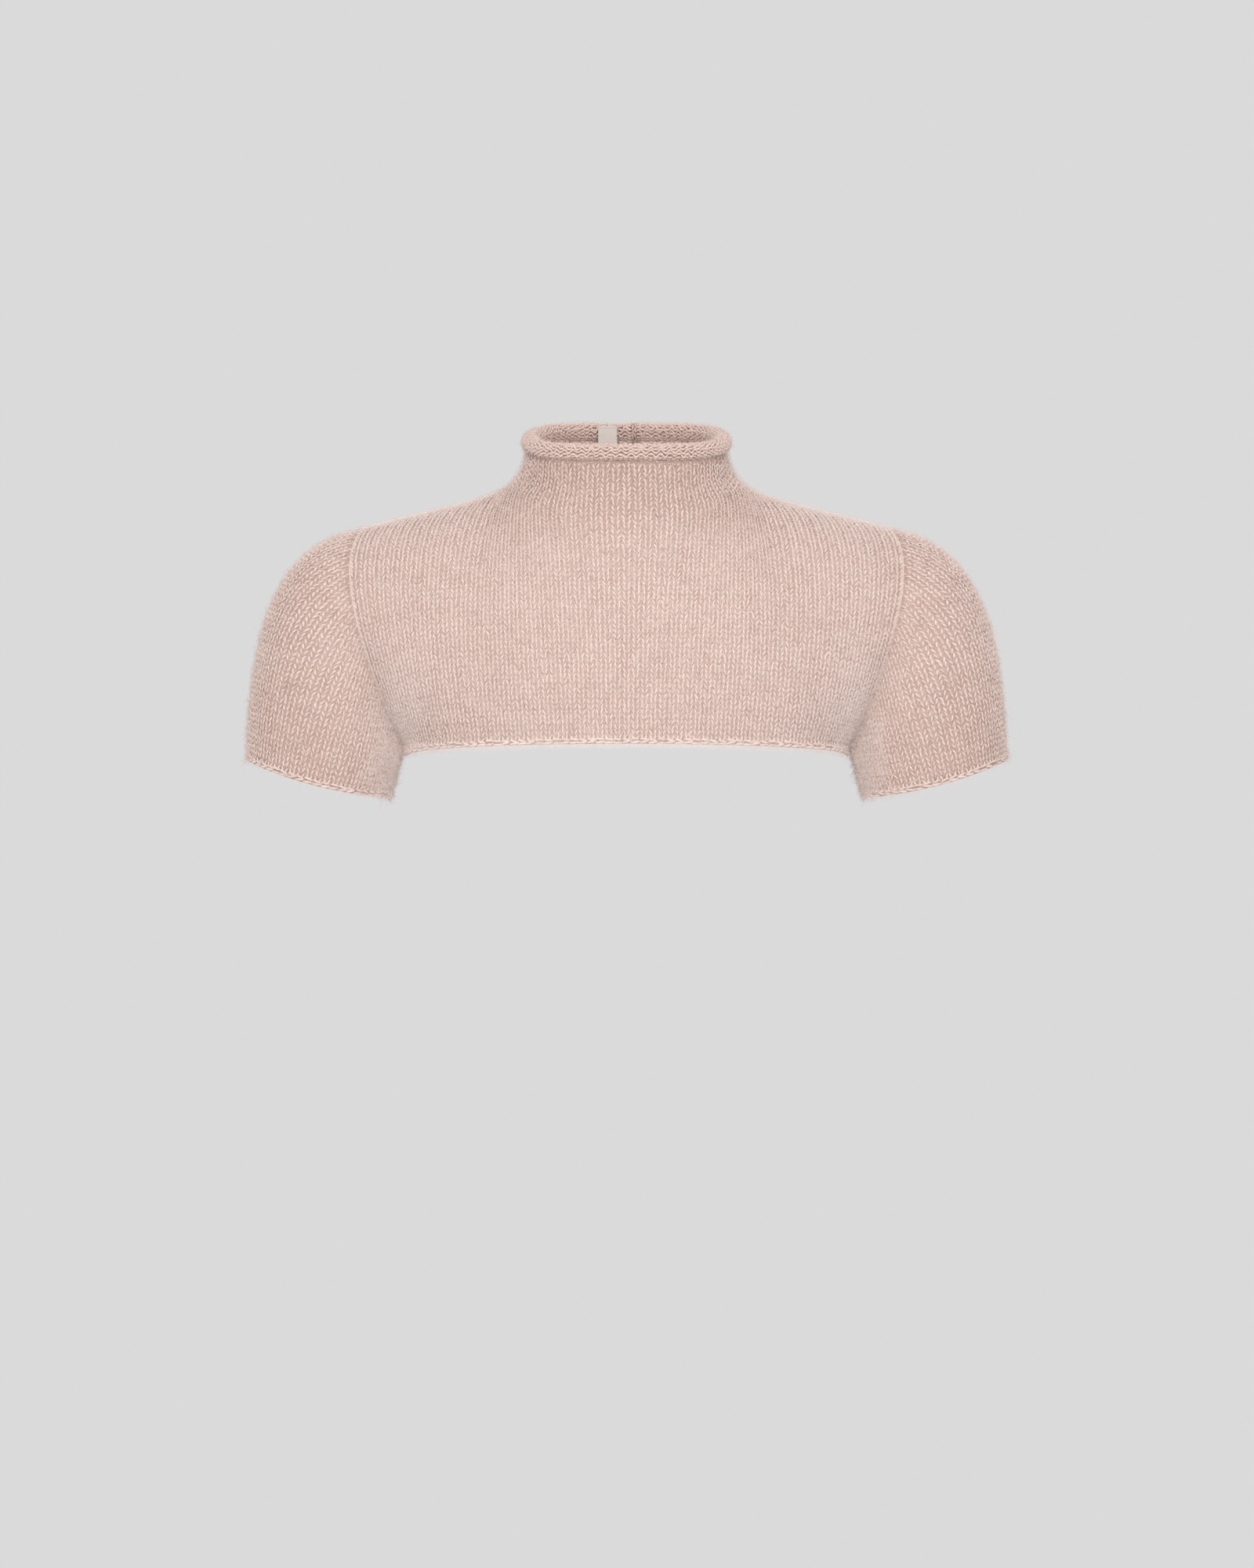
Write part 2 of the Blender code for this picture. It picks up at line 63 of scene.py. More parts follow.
# Chest, shoulder line and yoke
CHEST_HEART = np.array([0.0, 0.0, -80.0])
CHEST_HALF_WIDTH = 173.0
CHEST_EDGE = (50.0, -125.0)
CHEST_WRAP = math.radians(72.0)
NECK_FOOT_X = 80.0
SHOULDER_X = 181.4
SHOULDER_Z = -19.3
SHOULDER_SLOPE = 0.24
NECK_FOOT_RISE = 6.0
NECK_FOOT_FADE = 11.1
YOKE_HALF_WIDTH = 200.0
YOKE_EDGE_DEPTH = 66.0
YOKE_FOOT_Z = -13.0
YOKE_EDGE_Z = -45.0
YOKE_ROUNDING = 2.5

# Neck column and its rolled edge
NECK_START = 0.28
COLLAR_SQUARENESS = 0.022
COLLAR_RIM_SQUARENESS = 0.08
COLLAR_HALF_WIDTH = 68.0
COLLAR_HALF_DEPTH = 57.5
COLLAR_UPRIGHT = 8.0
COLLAR_DRAW_IN = 1.5
ROLL_HALF_WIDTH = 65.4
ROLL_HALF_DEPTH = 55.0
ROLL_MID_Z = 40.6
ROLL_TILT_RISE = 11.0
ROLL_RADIUS = 6.1
ROLL_SEAT = 0.35

# Side of the plane y = 0, then depth and height of the centre line at four rows
PANELS = {
    "front": {"way": -1.0, "hem": (108.0, -159.0), "chest": (114.0, -112.0),
              "yoke": (86.0, -62.0), "neck": (70.0, -15.0)},
    "back": {"way": 1.0, "hem": (105.0, -155.5), "chest": (113.0, -112.0),
             "yoke": (88.0, -32.0), "neck": (66.0, 8.0)},
}

# Slit down the centre back, and how far from it the wales slide and part
SLIT_LEFT_X = 3.9
SLIT_RIGHT_X = 6.9
SLIT_FOOT_ROW = 0.74
SLIT_SLIDE_WALES = 6.0
SLIT_PART_WALES = 1.6
SLIT_PART_ROWS = 0.05

# Sleeve: cuff ring and the leads at both ends, for the top, front and underarm of the arm
CUFF_CENTRE = (211.0, 0.0, -189.0)
CUFF_HALF_WIDTH = 50.8
CUFF_HALF_DEPTH = 46.0
CUFF_DROOP = 4.2
ARM_LEAN = math.radians(14.9)
CUFF_BAND = 5.0
CAP_LEAD = {"top": (56.6, -7.7), "side": (14.0, -36.0), "underarm": (4.0, -5.0)}
CAP_FULLNESS = 10.0
CUFF_LEAD = {"top": (2.5, -84.0), "side": (9.0, -38.0), "underarm": (2.5, -9.0)}

# Soft foot of the neck: length of the chest and neck columns, spread and reach of the softening
CHEST_RISE = 165.0
NECK_RISE = 45.0
FOOT_SOFT = 9.0
FOOT_SOFT_REACH = 30.0

# Gauge of the knitting, and how many wales each stretch of a panel has from the centre line
WALE_MM = 6.2
ROW_MM = 3.42
SLEEVE_ROW_MM = 3.65
NECK_WALES = 16.5
ARMHOLE_WALES = 30.5
SIDE_WALES = 32.5
WALE_STOPS = (0.0, NECK_WALES, ARMHOLE_WALES, SIDE_WALES)
COLUMN_STOPS = (0.0, NECK_SHARE, 1.0, SIDE)
SLEEVE_WALES = 52
SLEEVE_CLOTH_ROWS = 30
SLIT_WALE = 0.5
CHART_STEPS = 4

# Depths of the shell's two skins under the surface, and heights of the nap's over it
SHELL_OUTER = 1.15
SHELL_INNER = 2.4
NAP_LOW = 1.0
NAP_HIGH = 2.4
NAP_REACH = -1.6
NAP_FADE = (0.0, 0.9)

# Leg of a knit stitch: mm across, up and out, then half width and depth of its yarn
KNIT_LEG = {
    "across": (0.76, 0.97, 1.54, 2.11, 2.32),
    "up": (-1.20, -0.45, 1.35, 2.95, 3.75),
    "out": (-1.42, -0.78, -0.16, -0.66, -1.42),
    "width": (0.0, 0.62, 0.86, 0.62, 0.0),
    "depth": (0.0, 0.50, 0.74, 0.50, 0.0),
}

# Leg of a cast-off chain, which lies along the edge
CHAIN_LEG = {
    "across": (-1.2, 0.6, 3.1, 5.6, 7.6),
    "up": (1.65, 1.30, 1.00, 0.66, 0.10),
    "out": (-0.95, -0.45, -0.2, -0.4, -0.9),
    "width": (0.0, 0.85, 1.02, 0.80, 0.0),
    "depth": (0.0, 0.80, 0.95, 0.75, 0.0),
}
CHAIN_MIDDLE = 2.05
STITCH_START = 3.1

# Strand and chain leg along an edge of the slit
SELVEDGE_OUT = 0.82
SELVEDGE_STRAND = 0.78
SELVEDGE_DEPTH = 0.75
SELVEDGE_LEG = {
    "across": (1.10, 1.05, 0.85, 0.70, 0.60),
    "up": (-2.6, -1.5, 0.6, 2.8, 4.2),
    "out": (-1.4, -0.6, -0.15, -0.5, -1.4),
    "width": (0.0, 0.72, 0.82, 0.70, 0.0),
    "depth": (0.0, 0.60, 0.75, 0.60, 0.0),
}
YARN_LENGTH = 5.5
STITCH_JITTER = 0.13
STITCH_TURN = math.radians(5.0)
LEAST_STITCH = 0.2

# Yarn in the armhole seams: the point it's sunk towards, how far, its radius and its tone.
# The tone is painted shade for the seam's groove, and darkens the slit's strands too
ARMHOLE_HEART = np.array([110.0, 0.0, -90.0])
SEAM_SINK = 1.0
SEAM_CORD = 0.9
SEAM_SHADE_TONE = -1.2

# Purl rows: wave of each row, its bulge and its yarn
PURL_WAVE = 0.40
PURL_BULGE = 0.80
PURL_YARN = 0.74
PURL_SAMPLES = 7

# Mohair: short straight fuzz and longer bent hairs, for each stitch, with the depth of the roots
FUZZ_PER_STITCH = 4.2
FUZZ_RADIUS = 0.15
FUZZ_ROOT = -0.3
FUZZ_LENGTH = (2.6, 6.2)
HAIRS_PER_STITCH = 0.75
HAIR_RADIUS = 0.13
EXTRA_HAIR_RADIUS = 0.16
SLEEVE_EXTRA_HAIRS = ((18.0, 31.0, 1500), (0.0, 5.0, 350), (47.0, 52.0, 350))
HAIR_ROOT = -0.35
HAIR_LENGTH = (4.0, 8.5)
HAIR_DROOP = 0.12
LONG_HAIR_SHARE = 0.10
LONG_HAIR_LENGTH = 12.5

# Rolled edge: wales round it, its rows, and how its spiral tightens inside
ROLL_WALES = 68
ROLL_ROW_MM = 2.35
ROLL_CURL = 1.1
ROLL_CURL_START = 1.6 * math.pi
ROLL_CURL_TURN = 1.6
ROLL_TUCK = 2.2
ROLL_CLOTH_IN = 0.5
ROLL_SHELL = (0.9, 1.6)
ROLL_STEPS = 29
ROLL_HAIR_SHARE = 0.6
ROLL_NAP = (-1.8, -0.8)

# Label tape, its turned ends and its stitches
LABEL_X = (-19.6, -6.5)
LABEL_TOP_Z = 55.2
LABEL_LENGTH = 32.0
LABEL_BACK = 0.5
LABEL_FACE = 0.6
LABEL_TURN_IN = 2.2
LABEL_BARE = 8.0
TACKS = 9
TACK_INSET = 0.9
TACK_HALF = 0.45
TACK_BOW = 0.25
TACK_RADIUS = 0.11

# Button and yarn loop
BUTTON_PLACE = (-2.0, 36.5)
BUTTON_RADIUS = 5.2
BUTTON_SHANK = 1.5
BUTTON_LIFT = 0.3
BUTTON_STAND = 2.3
BUTTON_RIM = 1.2
BUTTON_DISH = 0.45
LOOP_TURN = 2.7
LOOP_REACH = 12.5
LOOP_RADIUS = 0.8
LOOP_TWIST = 2.6

# Camera and room, in metres
CAMERA_AWAY = 3.4
CAMERA_X = 0.0003
CAMERA_Z = -0.1926
PICTURE_HEIGHT = 1.07
SENSOR = 36.0
FLOOR_Z = -0.95
FLOOR_RADIUS = 40.0
BACKGROUND = 0.7011
LIT_FROM_AROUND = 0.60


def unit(vectors):
    """Vectors brought to length 1."""
    return vectors / np.maximum(np.linalg.norm(vectors, axis=-1, keepdims=True), TINY)


def together(*parts):
    """Points, pairs or faces from their parts, spread to one shape."""
    return np.stack(np.broadcast_arrays(*parts), axis=-1)


def bezier(start, second, third, end, t):
    """Cubic curve through start and end, leaving and arriving along its two inner points."""
    rest = 1.0 - t
    return (rest ** 3 * start + 3 * rest ** 2 * t * second
            + 3 * rest * t ** 2 * third + t ** 3 * end)


def section(u, half, centre, edge, wrap):
    """Row of a panel as part of an ellipse: sine of the wrapped angle across, cosine in depth."""
    angle = wrap * (EVEN_SPACING * u + (1 - EVEN_SPACING) * u ** 3)
    bow = (np.cos(angle) - math.cos(wrap)) / (1 - math.cos(wrap))
    return together(half * np.sin(angle) / math.sin(wrap), edge[0] + (centre[0] - edge[0]) * bow,
                    edge[1] + (centre[1] - edge[1]) * bow)


def shoulder_height(x):
    """Shoulder line: an even slope, lifted by a fading rise at the foot of the neck."""
    slope = SHOULDER_Z + SHOULDER_SLOPE * (SHOULDER_X - x)
    return slope + NECK_FOOT_RISE * np.exp((NECK_FOOT_X - x) / NECK_FOOT_FADE)


def upper_rows(panel, u):
    """Yoke row, foot of the neck or shoulder line, and the way each column starts up the neck.

    The foot is a quarter ellipse whose height dips with the squared cosine.  The shoulder goes
    on at an even rate.  The start is part of the way from yoke to foot, less a pull round it.
    """
    side, across = np.sign(u), np.abs(u)
    on_neck = across < NECK_SHARE
    turn = 0.5 * math.pi * np.minimum(across / NECK_SHARE, 1.0)
    out = np.clip((across - NECK_SHARE) / (1 - NECK_SHARE), 0.0, None)
    foot_depth, foot_z = panel["neck"][0], shoulder_height(NECK_FOOT_X)
    dip = foot_z - panel["neck"][1]
    x = np.where(on_neck, NECK_FOOT_X * np.sin(turn),
                 NECK_FOOT_X + (SHOULDER_X - NECK_FOOT_X) * out)
    depth = np.where(on_neck, foot_depth * np.cos(turn), 0.0)
    z = np.where(on_neck, foot_z - dip * np.cos(turn) ** 2, shoulder_height(x))
    top = together(side * x, np.maximum(depth, 0.5 * SEAM_GAP), z)
    rise = np.sin(turn) ** 2
    yoke_depth, yoke_z = panel["yoke"]
    yoke = together(
        YOKE_HALF_WIDTH * u,
        yoke_depth + (YOKE_EDGE_DEPTH - yoke_depth) * across ** YOKE_ROUNDING,
        yoke_z + (YOKE_FOOT_Z - yoke_z) * rise + (YOKE_EDGE_Z - YOKE_FOOT_Z) * out ** 2)
    ring = together(side * NECK_FOOT_X * np.cos(turn), -foot_depth * np.sin(turn),
                    dip * np.sin(2 * turn))
    pull = (NECK_START * yoke[..., 1] / foot_depth * rise)[..., None]
    return yoke, top, NECK_START * (top - yoke) - pull * ring


def squared_ring(turn, squareness=COLLAR_SQUARENESS):
    """Ring of half size 1 with fuller corners: first and third harmonics, across and deep."""
    across = np.sin(turn) + squareness * np.sin(3 * turn)
    deep = np.cos(turn) - squareness * np.cos(3 * turn)
    return across / (1 - squareness), deep / (1 - squareness)


def ring_turn(across):
    """Angle from the middle of the ring at which it has gone this share of its half width."""
    turn = np.linspace(-0.5 * math.pi, 0.5 * math.pi, 721)
    return float(np.interp(across, squared_ring(turn)[0], turn))


def roll_height(turn):
    """Height of the roll's centre line, from the middle back round to the lower front."""
    return ROLL_MID_Z + ROLL_TILT_RISE * squared_ring(turn, COLLAR_RIM_SQUARENESS)[1]


def panel_surface(panel, u, v):
    """Outer surface: rows below 0 are the hem band, 0 to 1 the chest, 1 to 2 the neck.

    A column is a cubic curve from the hem by way of chest and yoke to the foot of the neck,
    then another from there to the collar's squared ring.
    """
    u, v = np.broadcast_arrays(np.asarray(u, float), np.asarray(v, float))
    hem_wrap = 0.5 * math.pi / (EVEN_SPACING * SIDE + (1 - EVEN_SPACING) * SIDE ** 3)
    hem_edge = (panel["hem"][0] * math.cos(hem_wrap), SIDE_SEAM_TOP_Z)
    hem = section(u, HEM_HALF_WIDTH * math.sin(hem_wrap), panel["hem"], hem_edge, hem_wrap)
    chest = section(u, CHEST_HALF_WIDTH, panel["chest"], CHEST_EDGE, CHEST_WRAP)
    yoke, top, start = upper_rows(panel, u)
    turn = 0.5 * math.pi * np.clip(u / NECK_SHARE, -1.0, 1.0)
    across, deep = squared_ring(turn)
    rim_z = roll_height(turn if panel["way"] > 0 else math.pi - turn) - ROLL_RADIUS - ROLL_SEAT
    collar = together(COLLAR_HALF_WIDTH * across, COLLAR_HALF_DEPTH * deep, rim_z)
    upright = together(COLLAR_DRAW_IN * np.sin(turn), COLLAR_DRAW_IN * np.cos(turn),
                       -COLLAR_UPRIGHT)
    lower = bezier(hem, chest, yoke, top, np.clip(v, 0, 1)[..., None])
    neck = bezier(top, top + start, collar + upright, collar, np.clip(v - 1, 0, 1)[..., None])
    points = np.where((v > 1)[..., None], neck, lower)
    points[..., 2] += HEM_BAND * np.minimum(v, 0.0)
    points[..., 1] = panel["way"] * np.maximum(points[..., 1], 0.5 * SEAM_GAP)
    return points


def cloth_surface(panel, u, v):
    """Panel surface with the crease at the foot of the neck drawn out softly along the wales.

    Near the foot each point moves to a bell-weighted mean of its column's points a few
    millimetres up and down.  The move fades to nothing at the neck's side seams.
    """
    u, v = np.broadcast_arrays(np.asarray(u, float), np.asarray(v, float))
    stops = np.array([-1.0, 0.0, 1.0, 2.0])
    rises = np.cumsum([0.0, HEM_BAND, CHEST_RISE, NECK_RISE])
    rise = np.interp(v, stops, rises)
    away = (rise - rises[2]) / FOOT_SOFT_REACH
    share = np.exp(-away ** 2) * np.clip(1 - (u / NECK_SHARE) ** 6, 0.0, 1.0)
    points = panel_surface(panel, u, v)
    offsets = np.linspace(-2.2, 2.2, 9)
    weights = np.exp(-0.5 * offsets ** 2)
    mean = sum(weight * panel_surface(panel, u, np.interp(rise + FOOT_SOFT * offset, rises, stops))
               for weight, offset in zip(weights / weights.sum(), offsets))
    return points + share[..., None] * (mean - points)


def armhole_loop(steps):
    """Armhole seam on the wearer's left: shoulder, front, underarm, back, and round again."""
    band = np.linspace(1.0, SIDE, steps // 8 + 1)[1:]
    columns = np.concatenate([np.ones(steps + 1), band])
    rows = np.concatenate([np.linspace(1, 0, steps + 1), np.zeros_like(band)])
    front, back = (panel_surface(panel, columns, rows) for panel in PANELS.values())
    for half in (front, back):
        half[[0, -1], 1] = 0.0
    return np.concatenate([front, back[-2:0:-1]])


def around_arm(values, angle):
    """Blend of three (x, z) pairs round the arm: top at 0, side at 90, underarm at 180 degrees."""
    top, side, under = (np.array(values[key]) for key in ("top", "side", "underarm"))
    mean = 0.5 * (top + under)
    return (0.5 * (mean + side) + 0.5 * (top - under) * np.cos(angle)
            + 0.5 * (mean - side) * np.cos(2 * angle)).T


def sleeve_columns(rows, wales):
    """Columns of the left sleeve by wale, each from the cuff's edge up to the seam.

    A column is a cubic curve from its even share of the armhole to the top of the cuff band,
    then the band straight on.  Rows run from -1 at the edge over 0 at the band's top to 1 at
    the seam.
    """
    loop = armhole_loop(64)
    following = np.roll(loop, -1, axis=0)
    steps = np.linalg.norm(following - loop, axis=1)
    angle = 2 * math.pi * np.concatenate([[0], np.cumsum(steps)[:-1]])[:, None] / steps.sum()
    turn = angle[:, 0]
    lead_x, lead_z = around_arm(CAP_LEAD, angle)
    cap_lead = together(lead_x, -CAP_FULLNESS * np.sin(turn), lead_z)
    lead_x, lead_z = around_arm(CUFF_LEAD, angle)
    cuff_lead = together(lead_x, 0.0, lead_z)
    axis = np.array([math.sin(ARM_LEAN), 0.0, -math.cos(ARM_LEAN)])
    outward = np.array([math.cos(ARM_LEAN), 0.0, math.sin(ARM_LEAN)])
    forward = np.array([0.0, -1.0, 0.0])
    cuff = (np.array(CUFF_CENTRE) + CUFF_HALF_WIDTH * np.cos(angle) * outward
            + CUFF_HALF_DEPTH * np.sin(angle) * forward + CUFF_DROOP * np.sin(angle) ** 2 * axis)
    band_top = cuff - CUFF_BAND * axis
    along = unit(following - np.roll(loop, 1, axis=0))
    away = unit(cap_lead - np.sum(cap_lead * along, axis=1, keepdims=True) * along)
    seam = loop + SLEEVE_GAP * away
    t = np.clip(1 - rows, 0, 1)[:, None, None]
    body = bezier(seam, seam + cap_lead, band_top - cuff_lead, band_top, t)
    grid = body - CUFF_BAND * np.minimum(rows, 0)[:, None, None] * axis
    grid = np.concatenate([grid, grid[:, :1]], axis=1)
    place = np.broadcast_to(SLEEVE_WALES * np.append(turn, 2 * math.pi) / (2 * math.pi),
                            grid.shape[:2])
    return respace(grid, place, wales).transpose(1, 0, 2)


def respace(columns, along, targets):
    """Points of every column at the target lengths, going straight on past a column's end.

    The columns' lengths are set apart in one rising row, so that a single sorted search finds
    the stretch of each target.
    """
    count = columns.shape[1]
    order = np.arange(len(columns))[:, None]
    lanes = order * 2 * (along.max() + targets.max())
    found = np.searchsorted((along + lanes).ravel(), (targets[None] + lanes).ravel(), side="right")
    index = np.clip(found.reshape(len(columns), -1) - order * count - 1, 0, count - 2)
    low = np.take_along_axis(along, index, 1)
    high = np.take_along_axis(along, index + 1, 1)
    start = np.take_along_axis(columns, index[..., None], 1)
    end = np.take_along_axis(columns, index[..., None] + 1, 1)
    return start + ((targets - low) / (high - low))[..., None] * (end - start)


class Chart:
    """A surface charted in wales across and rows up, with its points and outward normals.

    facing is 1 where wale, row and outward make a right-handed set, and -1 where they don't.
    """

    def __init__(self, columns, first, last, row_mm, inside, wrap=False):
        steps = np.linalg.norm(np.diff(columns, axis=1), axis=2)
        along = np.pad(np.cumsum(steps, axis=1), ((0, 0), (1, 0))) / row_mm
        self.first, self.last, self.row_mm, self.wrap = first, last, row_mm, wrap
        self.ends = along[:, -1]
        targets = np.arange(0, self.ends.max() + 2, 1.0 / CHART_STEPS)
        self.points = respace(columns, along, targets)
        across = np.gradient(self.points, axis=0)
        if wrap:
            across[0] = across[-1] = 0.5 * (self.points[1] - self.points[-2])
        normals = unit(np.cross(across, np.gradient(self.points, axis=1)))
        self.facing = float(np.sign(np.sum(normals * (self.points - inside))))
        self.normals = normals * self.facing

    def read(self, grid, wale, row):
        """Value of a grid at any wale and row, blended from the four chart points round it."""
        wale, row = np.broadcast_arrays(wale, row)
        if self.wrap:
            wale = self.first + np.mod(wale - self.first, self.last - self.first)
        i = np.clip((wale - self.first) * CHART_STEPS, 0, len(self.points) - 1)
        j = np.clip(row * CHART_STEPS, 0, self.points.shape[1] - 1)
        left = np.minimum(i.astype(int), len(self.points) - 2)
        low = np.minimum(j.astype(int), self.points.shape[1] - 2)
        across, up = (i - left)[..., None], (j - low)[..., None]
        bottom = grid[left, low] * (1 - across) + grid[left + 1, low] * across
        top = grid[left, low + 1] * (1 - across) + grid[left + 1, low + 1] * across
        return bottom * (1 - up) + top * up

    def normal(self, wale, row):
        """Outward normal at any wale and row."""
        return unit(self.read(self.normals, wale, row))

    def place(self, wale, row, out=0.0):
        """Point at any wale and row, moved out along the normal."""
        return (self.read(self.points, wale, row)
                + np.asarray(out)[..., None] * self.normal(wale, row))

    def end(self, wale):
        """Row at which a wale ends."""
        return np.interp(wale, np.linspace(self.first, self.last, len(self.ends)), self.ends)


def slit_columns():
    """The two columns of the back panel that run along the edges of the slit."""
    share = NECK_SHARE / (0.5 * math.pi)
    return tuple(share * ring_turn(x / COLLAR_HALF_WIDTH) for x in (SLIT_LEFT_X, SLIT_RIGHT_X))


def signed_interp(value, stops, results):
    """Interpolation by size that keeps the sign, for both halves of a panel."""
    return np.sign(value) * np.interp(np.abs(value), stops, results)


def slit_warp(wale, v, side):
    """How far the slit moves a wale's column aside.

    The gap between two wales slides to the slit's middle with a wide bell curve.  Above the
    slit's foot each edge also draws back by half the slit's width, fading over a few wales.
    """
    left, right = slit_columns()
    away = np.abs(wale - SLIT_WALE)
    column = signed_interp(SLIT_WALE, WALE_STOPS, COLUMN_STOPS)
    slide = (0.5 * (left + right) - column) * np.exp(-(away / SLIT_SLIDE_WALES) ** 2)
    opening = np.clip((v - SLIT_FOOT_ROW) / SLIT_PART_ROWS, 0, 1)
    return slide + side * 0.5 * (right - left) * opening * np.exp(-away / SLIT_PART_WALES)


def panel_chart(name, first, last, top, slit_side=0):
    """Chart of one stretch of a panel, from the hem's edge up to v = top."""
    wales = np.linspace(first, last, int(round((last - first) * CHART_STEPS)) + 1)[:, None]
    v = np.concatenate([np.linspace(-1, 0, 9), np.linspace(0, top, 100 * top + 1)[1:]])[None, :]
    u = signed_interp(wales, WALE_STOPS, COLUMN_STOPS)
    if name == "back":
        u = u + slit_warp(wales, v, slit_side)
    return Chart(cloth_surface(PANELS[name], u, v), first, last, ROW_MM, CHEST_HEART)


def panel_charts(name):
    """Charts of a panel by stretch: both shoulders, both ends of the hem band, and the neck."""
    stretches = [("left", NECK_WALES, ARMHOLE_WALES, 1), ("right", -ARMHOLE_WALES, -NECK_WALES, 1),
                 ("left_band", ARMHOLE_WALES, SIDE_WALES, 0),
                 ("right_band", -SIDE_WALES, -ARMHOLE_WALES, 0)]
    if name == "back":
        stretches += [("middle_right", -NECK_WALES, SLIT_WALE, 2, -1),
                      ("middle_left", SLIT_WALE, NECK_WALES, 2, 1)]
    else:
        stretches.append(("middle", -NECK_WALES, NECK_WALES, 2))
    return {key: panel_chart(name, *stretch) for key, *stretch in stretches}


def sleeve_chart(side):
    """Chart of a sleeve, whose wales go once round the arm from the top by way of the front."""
    wales = np.linspace(0, SLEEVE_WALES, SLEEVE_WALES * CHART_STEPS + 1)
    rows = np.concatenate([np.linspace(-1, 0, 7), np.linspace(0, 1, 101)[1:]])
    columns = sleeve_columns(rows, wales) * np.array([side, 1.0, 1.0])
    return Chart(columns, 0, SLEEVE_WALES, SLEEVE_ROW_MM, columns.mean(axis=(0, 1)), wrap=True)


def ribbon_chart(path, across, inside):
    """Narrow chart along a path (n, 3): one wale to each side of it, at even distances."""
    offsets = np.linspace(-1, 1, 2 * CHART_STEPS + 1) * WALE_MM
    return Chart(path[None] + offsets[:, None, None] * across[None], -1, 1, ROW_MM, inside)


class Pile:
    """Gathers batches of points and faces with their yarn values, and writes them as one mesh."""

    def __init__(self):
        self.points, self.corners, self.sizes, self.places = [], [], [], []
        self.tones, self.crests, self.slots = [], [], []
        self.count = 0

    def add(self, points, faces, uv=0.0, tone=0.0, crest=1.0, slot=0):
        """Take points (n, 3), faces (f, k) and a place on the yarn for every corner (f, k, 2)."""
        self.points.append(points)
        self.tones.append(np.broadcast_to(tone, len(points)))
        self.crests.append(np.broadcast_to(crest, len(points)))
        self.join(faces + self.count, uv, slot)
        self.count += len(points)

    def join(self, faces, uv=0.0, slot=0):
        """Take faces between points of the whole pile."""
        self.corners.append(faces.ravel())
        self.sizes.append(np.full(len(faces), faces.shape[1]))
        self.places.append(np.broadcast_to(uv, (*faces.shape, 2)).reshape(-1, 2))
        self.slots.append(np.full(len(faces), slot))

    def write(self, name, materials, slot, replaced=(), shadow=True):
        """Write the mesh in metres as a piece that rides with the top.  Its slot is not used.

        Points without a face are left out.  The yarn places become the UV map, and tone and
        crest become attributes.  The replaced parts of the imported model are hidden.
        """
        mesh = bpy.data.meshes.new(name)
        used, corners = np.unique(np.concatenate(self.corners), return_inverse=True)
        sizes = np.concatenate(self.sizes)
        mesh.vertices.add(len(used))
        mesh.vertices.foreach_set("co", (np.concatenate(self.points)[used] * METRES).ravel())
        mesh.loops.add(len(corners))
        mesh.loops.foreach_set("vertex_index", corners)
        mesh.polygons.add(len(sizes))
        mesh.polygons.foreach_set("loop_start", np.concatenate([[0], np.cumsum(sizes)[:-1]]))
        for material in materials:
            mesh.materials.append(material)
        mesh.polygons.foreach_set("material_index", np.concatenate(self.slots))
        mesh.update(calc_edges=True)
        layer = mesh.uv_layers.new(name="Yarn")
        layer.data.foreach_set("uv", np.concatenate(self.places).ravel())
        for key, values in (("tone", self.tones), ("crest", self.crests)):
            attribute = mesh.attributes.new(key, "FLOAT", "POINT")
            attribute.data.foreach_set("value", np.concatenate(values)[used])
        mesh.shade_smooth()
        piece = bpy.data.objects.new(name, mesh)
        piece.visible_shadow = shadow
        bpy.context.scene.collection.objects.link(piece)
        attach(piece, "root")
        if replaced:
            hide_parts(*replaced)
        return piece


def spindle(leg):
    """Closed spindle of yarn: both ends are points, and each place between is a ring of three.

    Returns points (m, 3) as mm across, up and out, triangles (f, 3), and for every corner of
    them the place along and round the yarn.
    """
    path = together(leg["across"], leg["up"], leg["out"])
    middle = path[1:-1]
    heading = unit(np.gradient(path[:, :2], axis=0)[1:-1])
    beside = together(heading[:, 1], -heading[:, 0], 0.0) * np.array(leg["width"])[1:-1, None]
    above = np.array([[0.0, 0.0, 1.0]]) * np.array(leg["depth"])[1:-1, None]
    rings = np.stack([middle + beside, middle + above, middle - beside], axis=1)
    points = np.concatenate([path[:1], rings.reshape(-1, 3), path[-1:]])
    count = len(middle)
    top = 3 * (count - 1)
    faces, places = [], []
    for side in range(3):
        a, b, after = 1 + side, 1 + (side + 1) % 3, side + 1
        faces.append((0, a, b))
        places.append(((0, side + 0.5), (1, side), (1, after)))
        for ring in range(count - 1):
            low, near, far = 3 * ring, ring + 1, ring + 2
            faces += [(a + low, a + low + 3, b + low + 3), (a + low, b + low + 3, b + low)]
            places += [((near, side), (far, side), (far, after)),
                       ((near, side), (far, after), (near, after))]
        faces.append((a + top, len(points) - 1, b + top))
        places.append(((count, side), (count + 1, side + 0.5), (count, after)))
    return points, np.array(faces), np.array(places) / np.array([count + 1.0, 3.0])


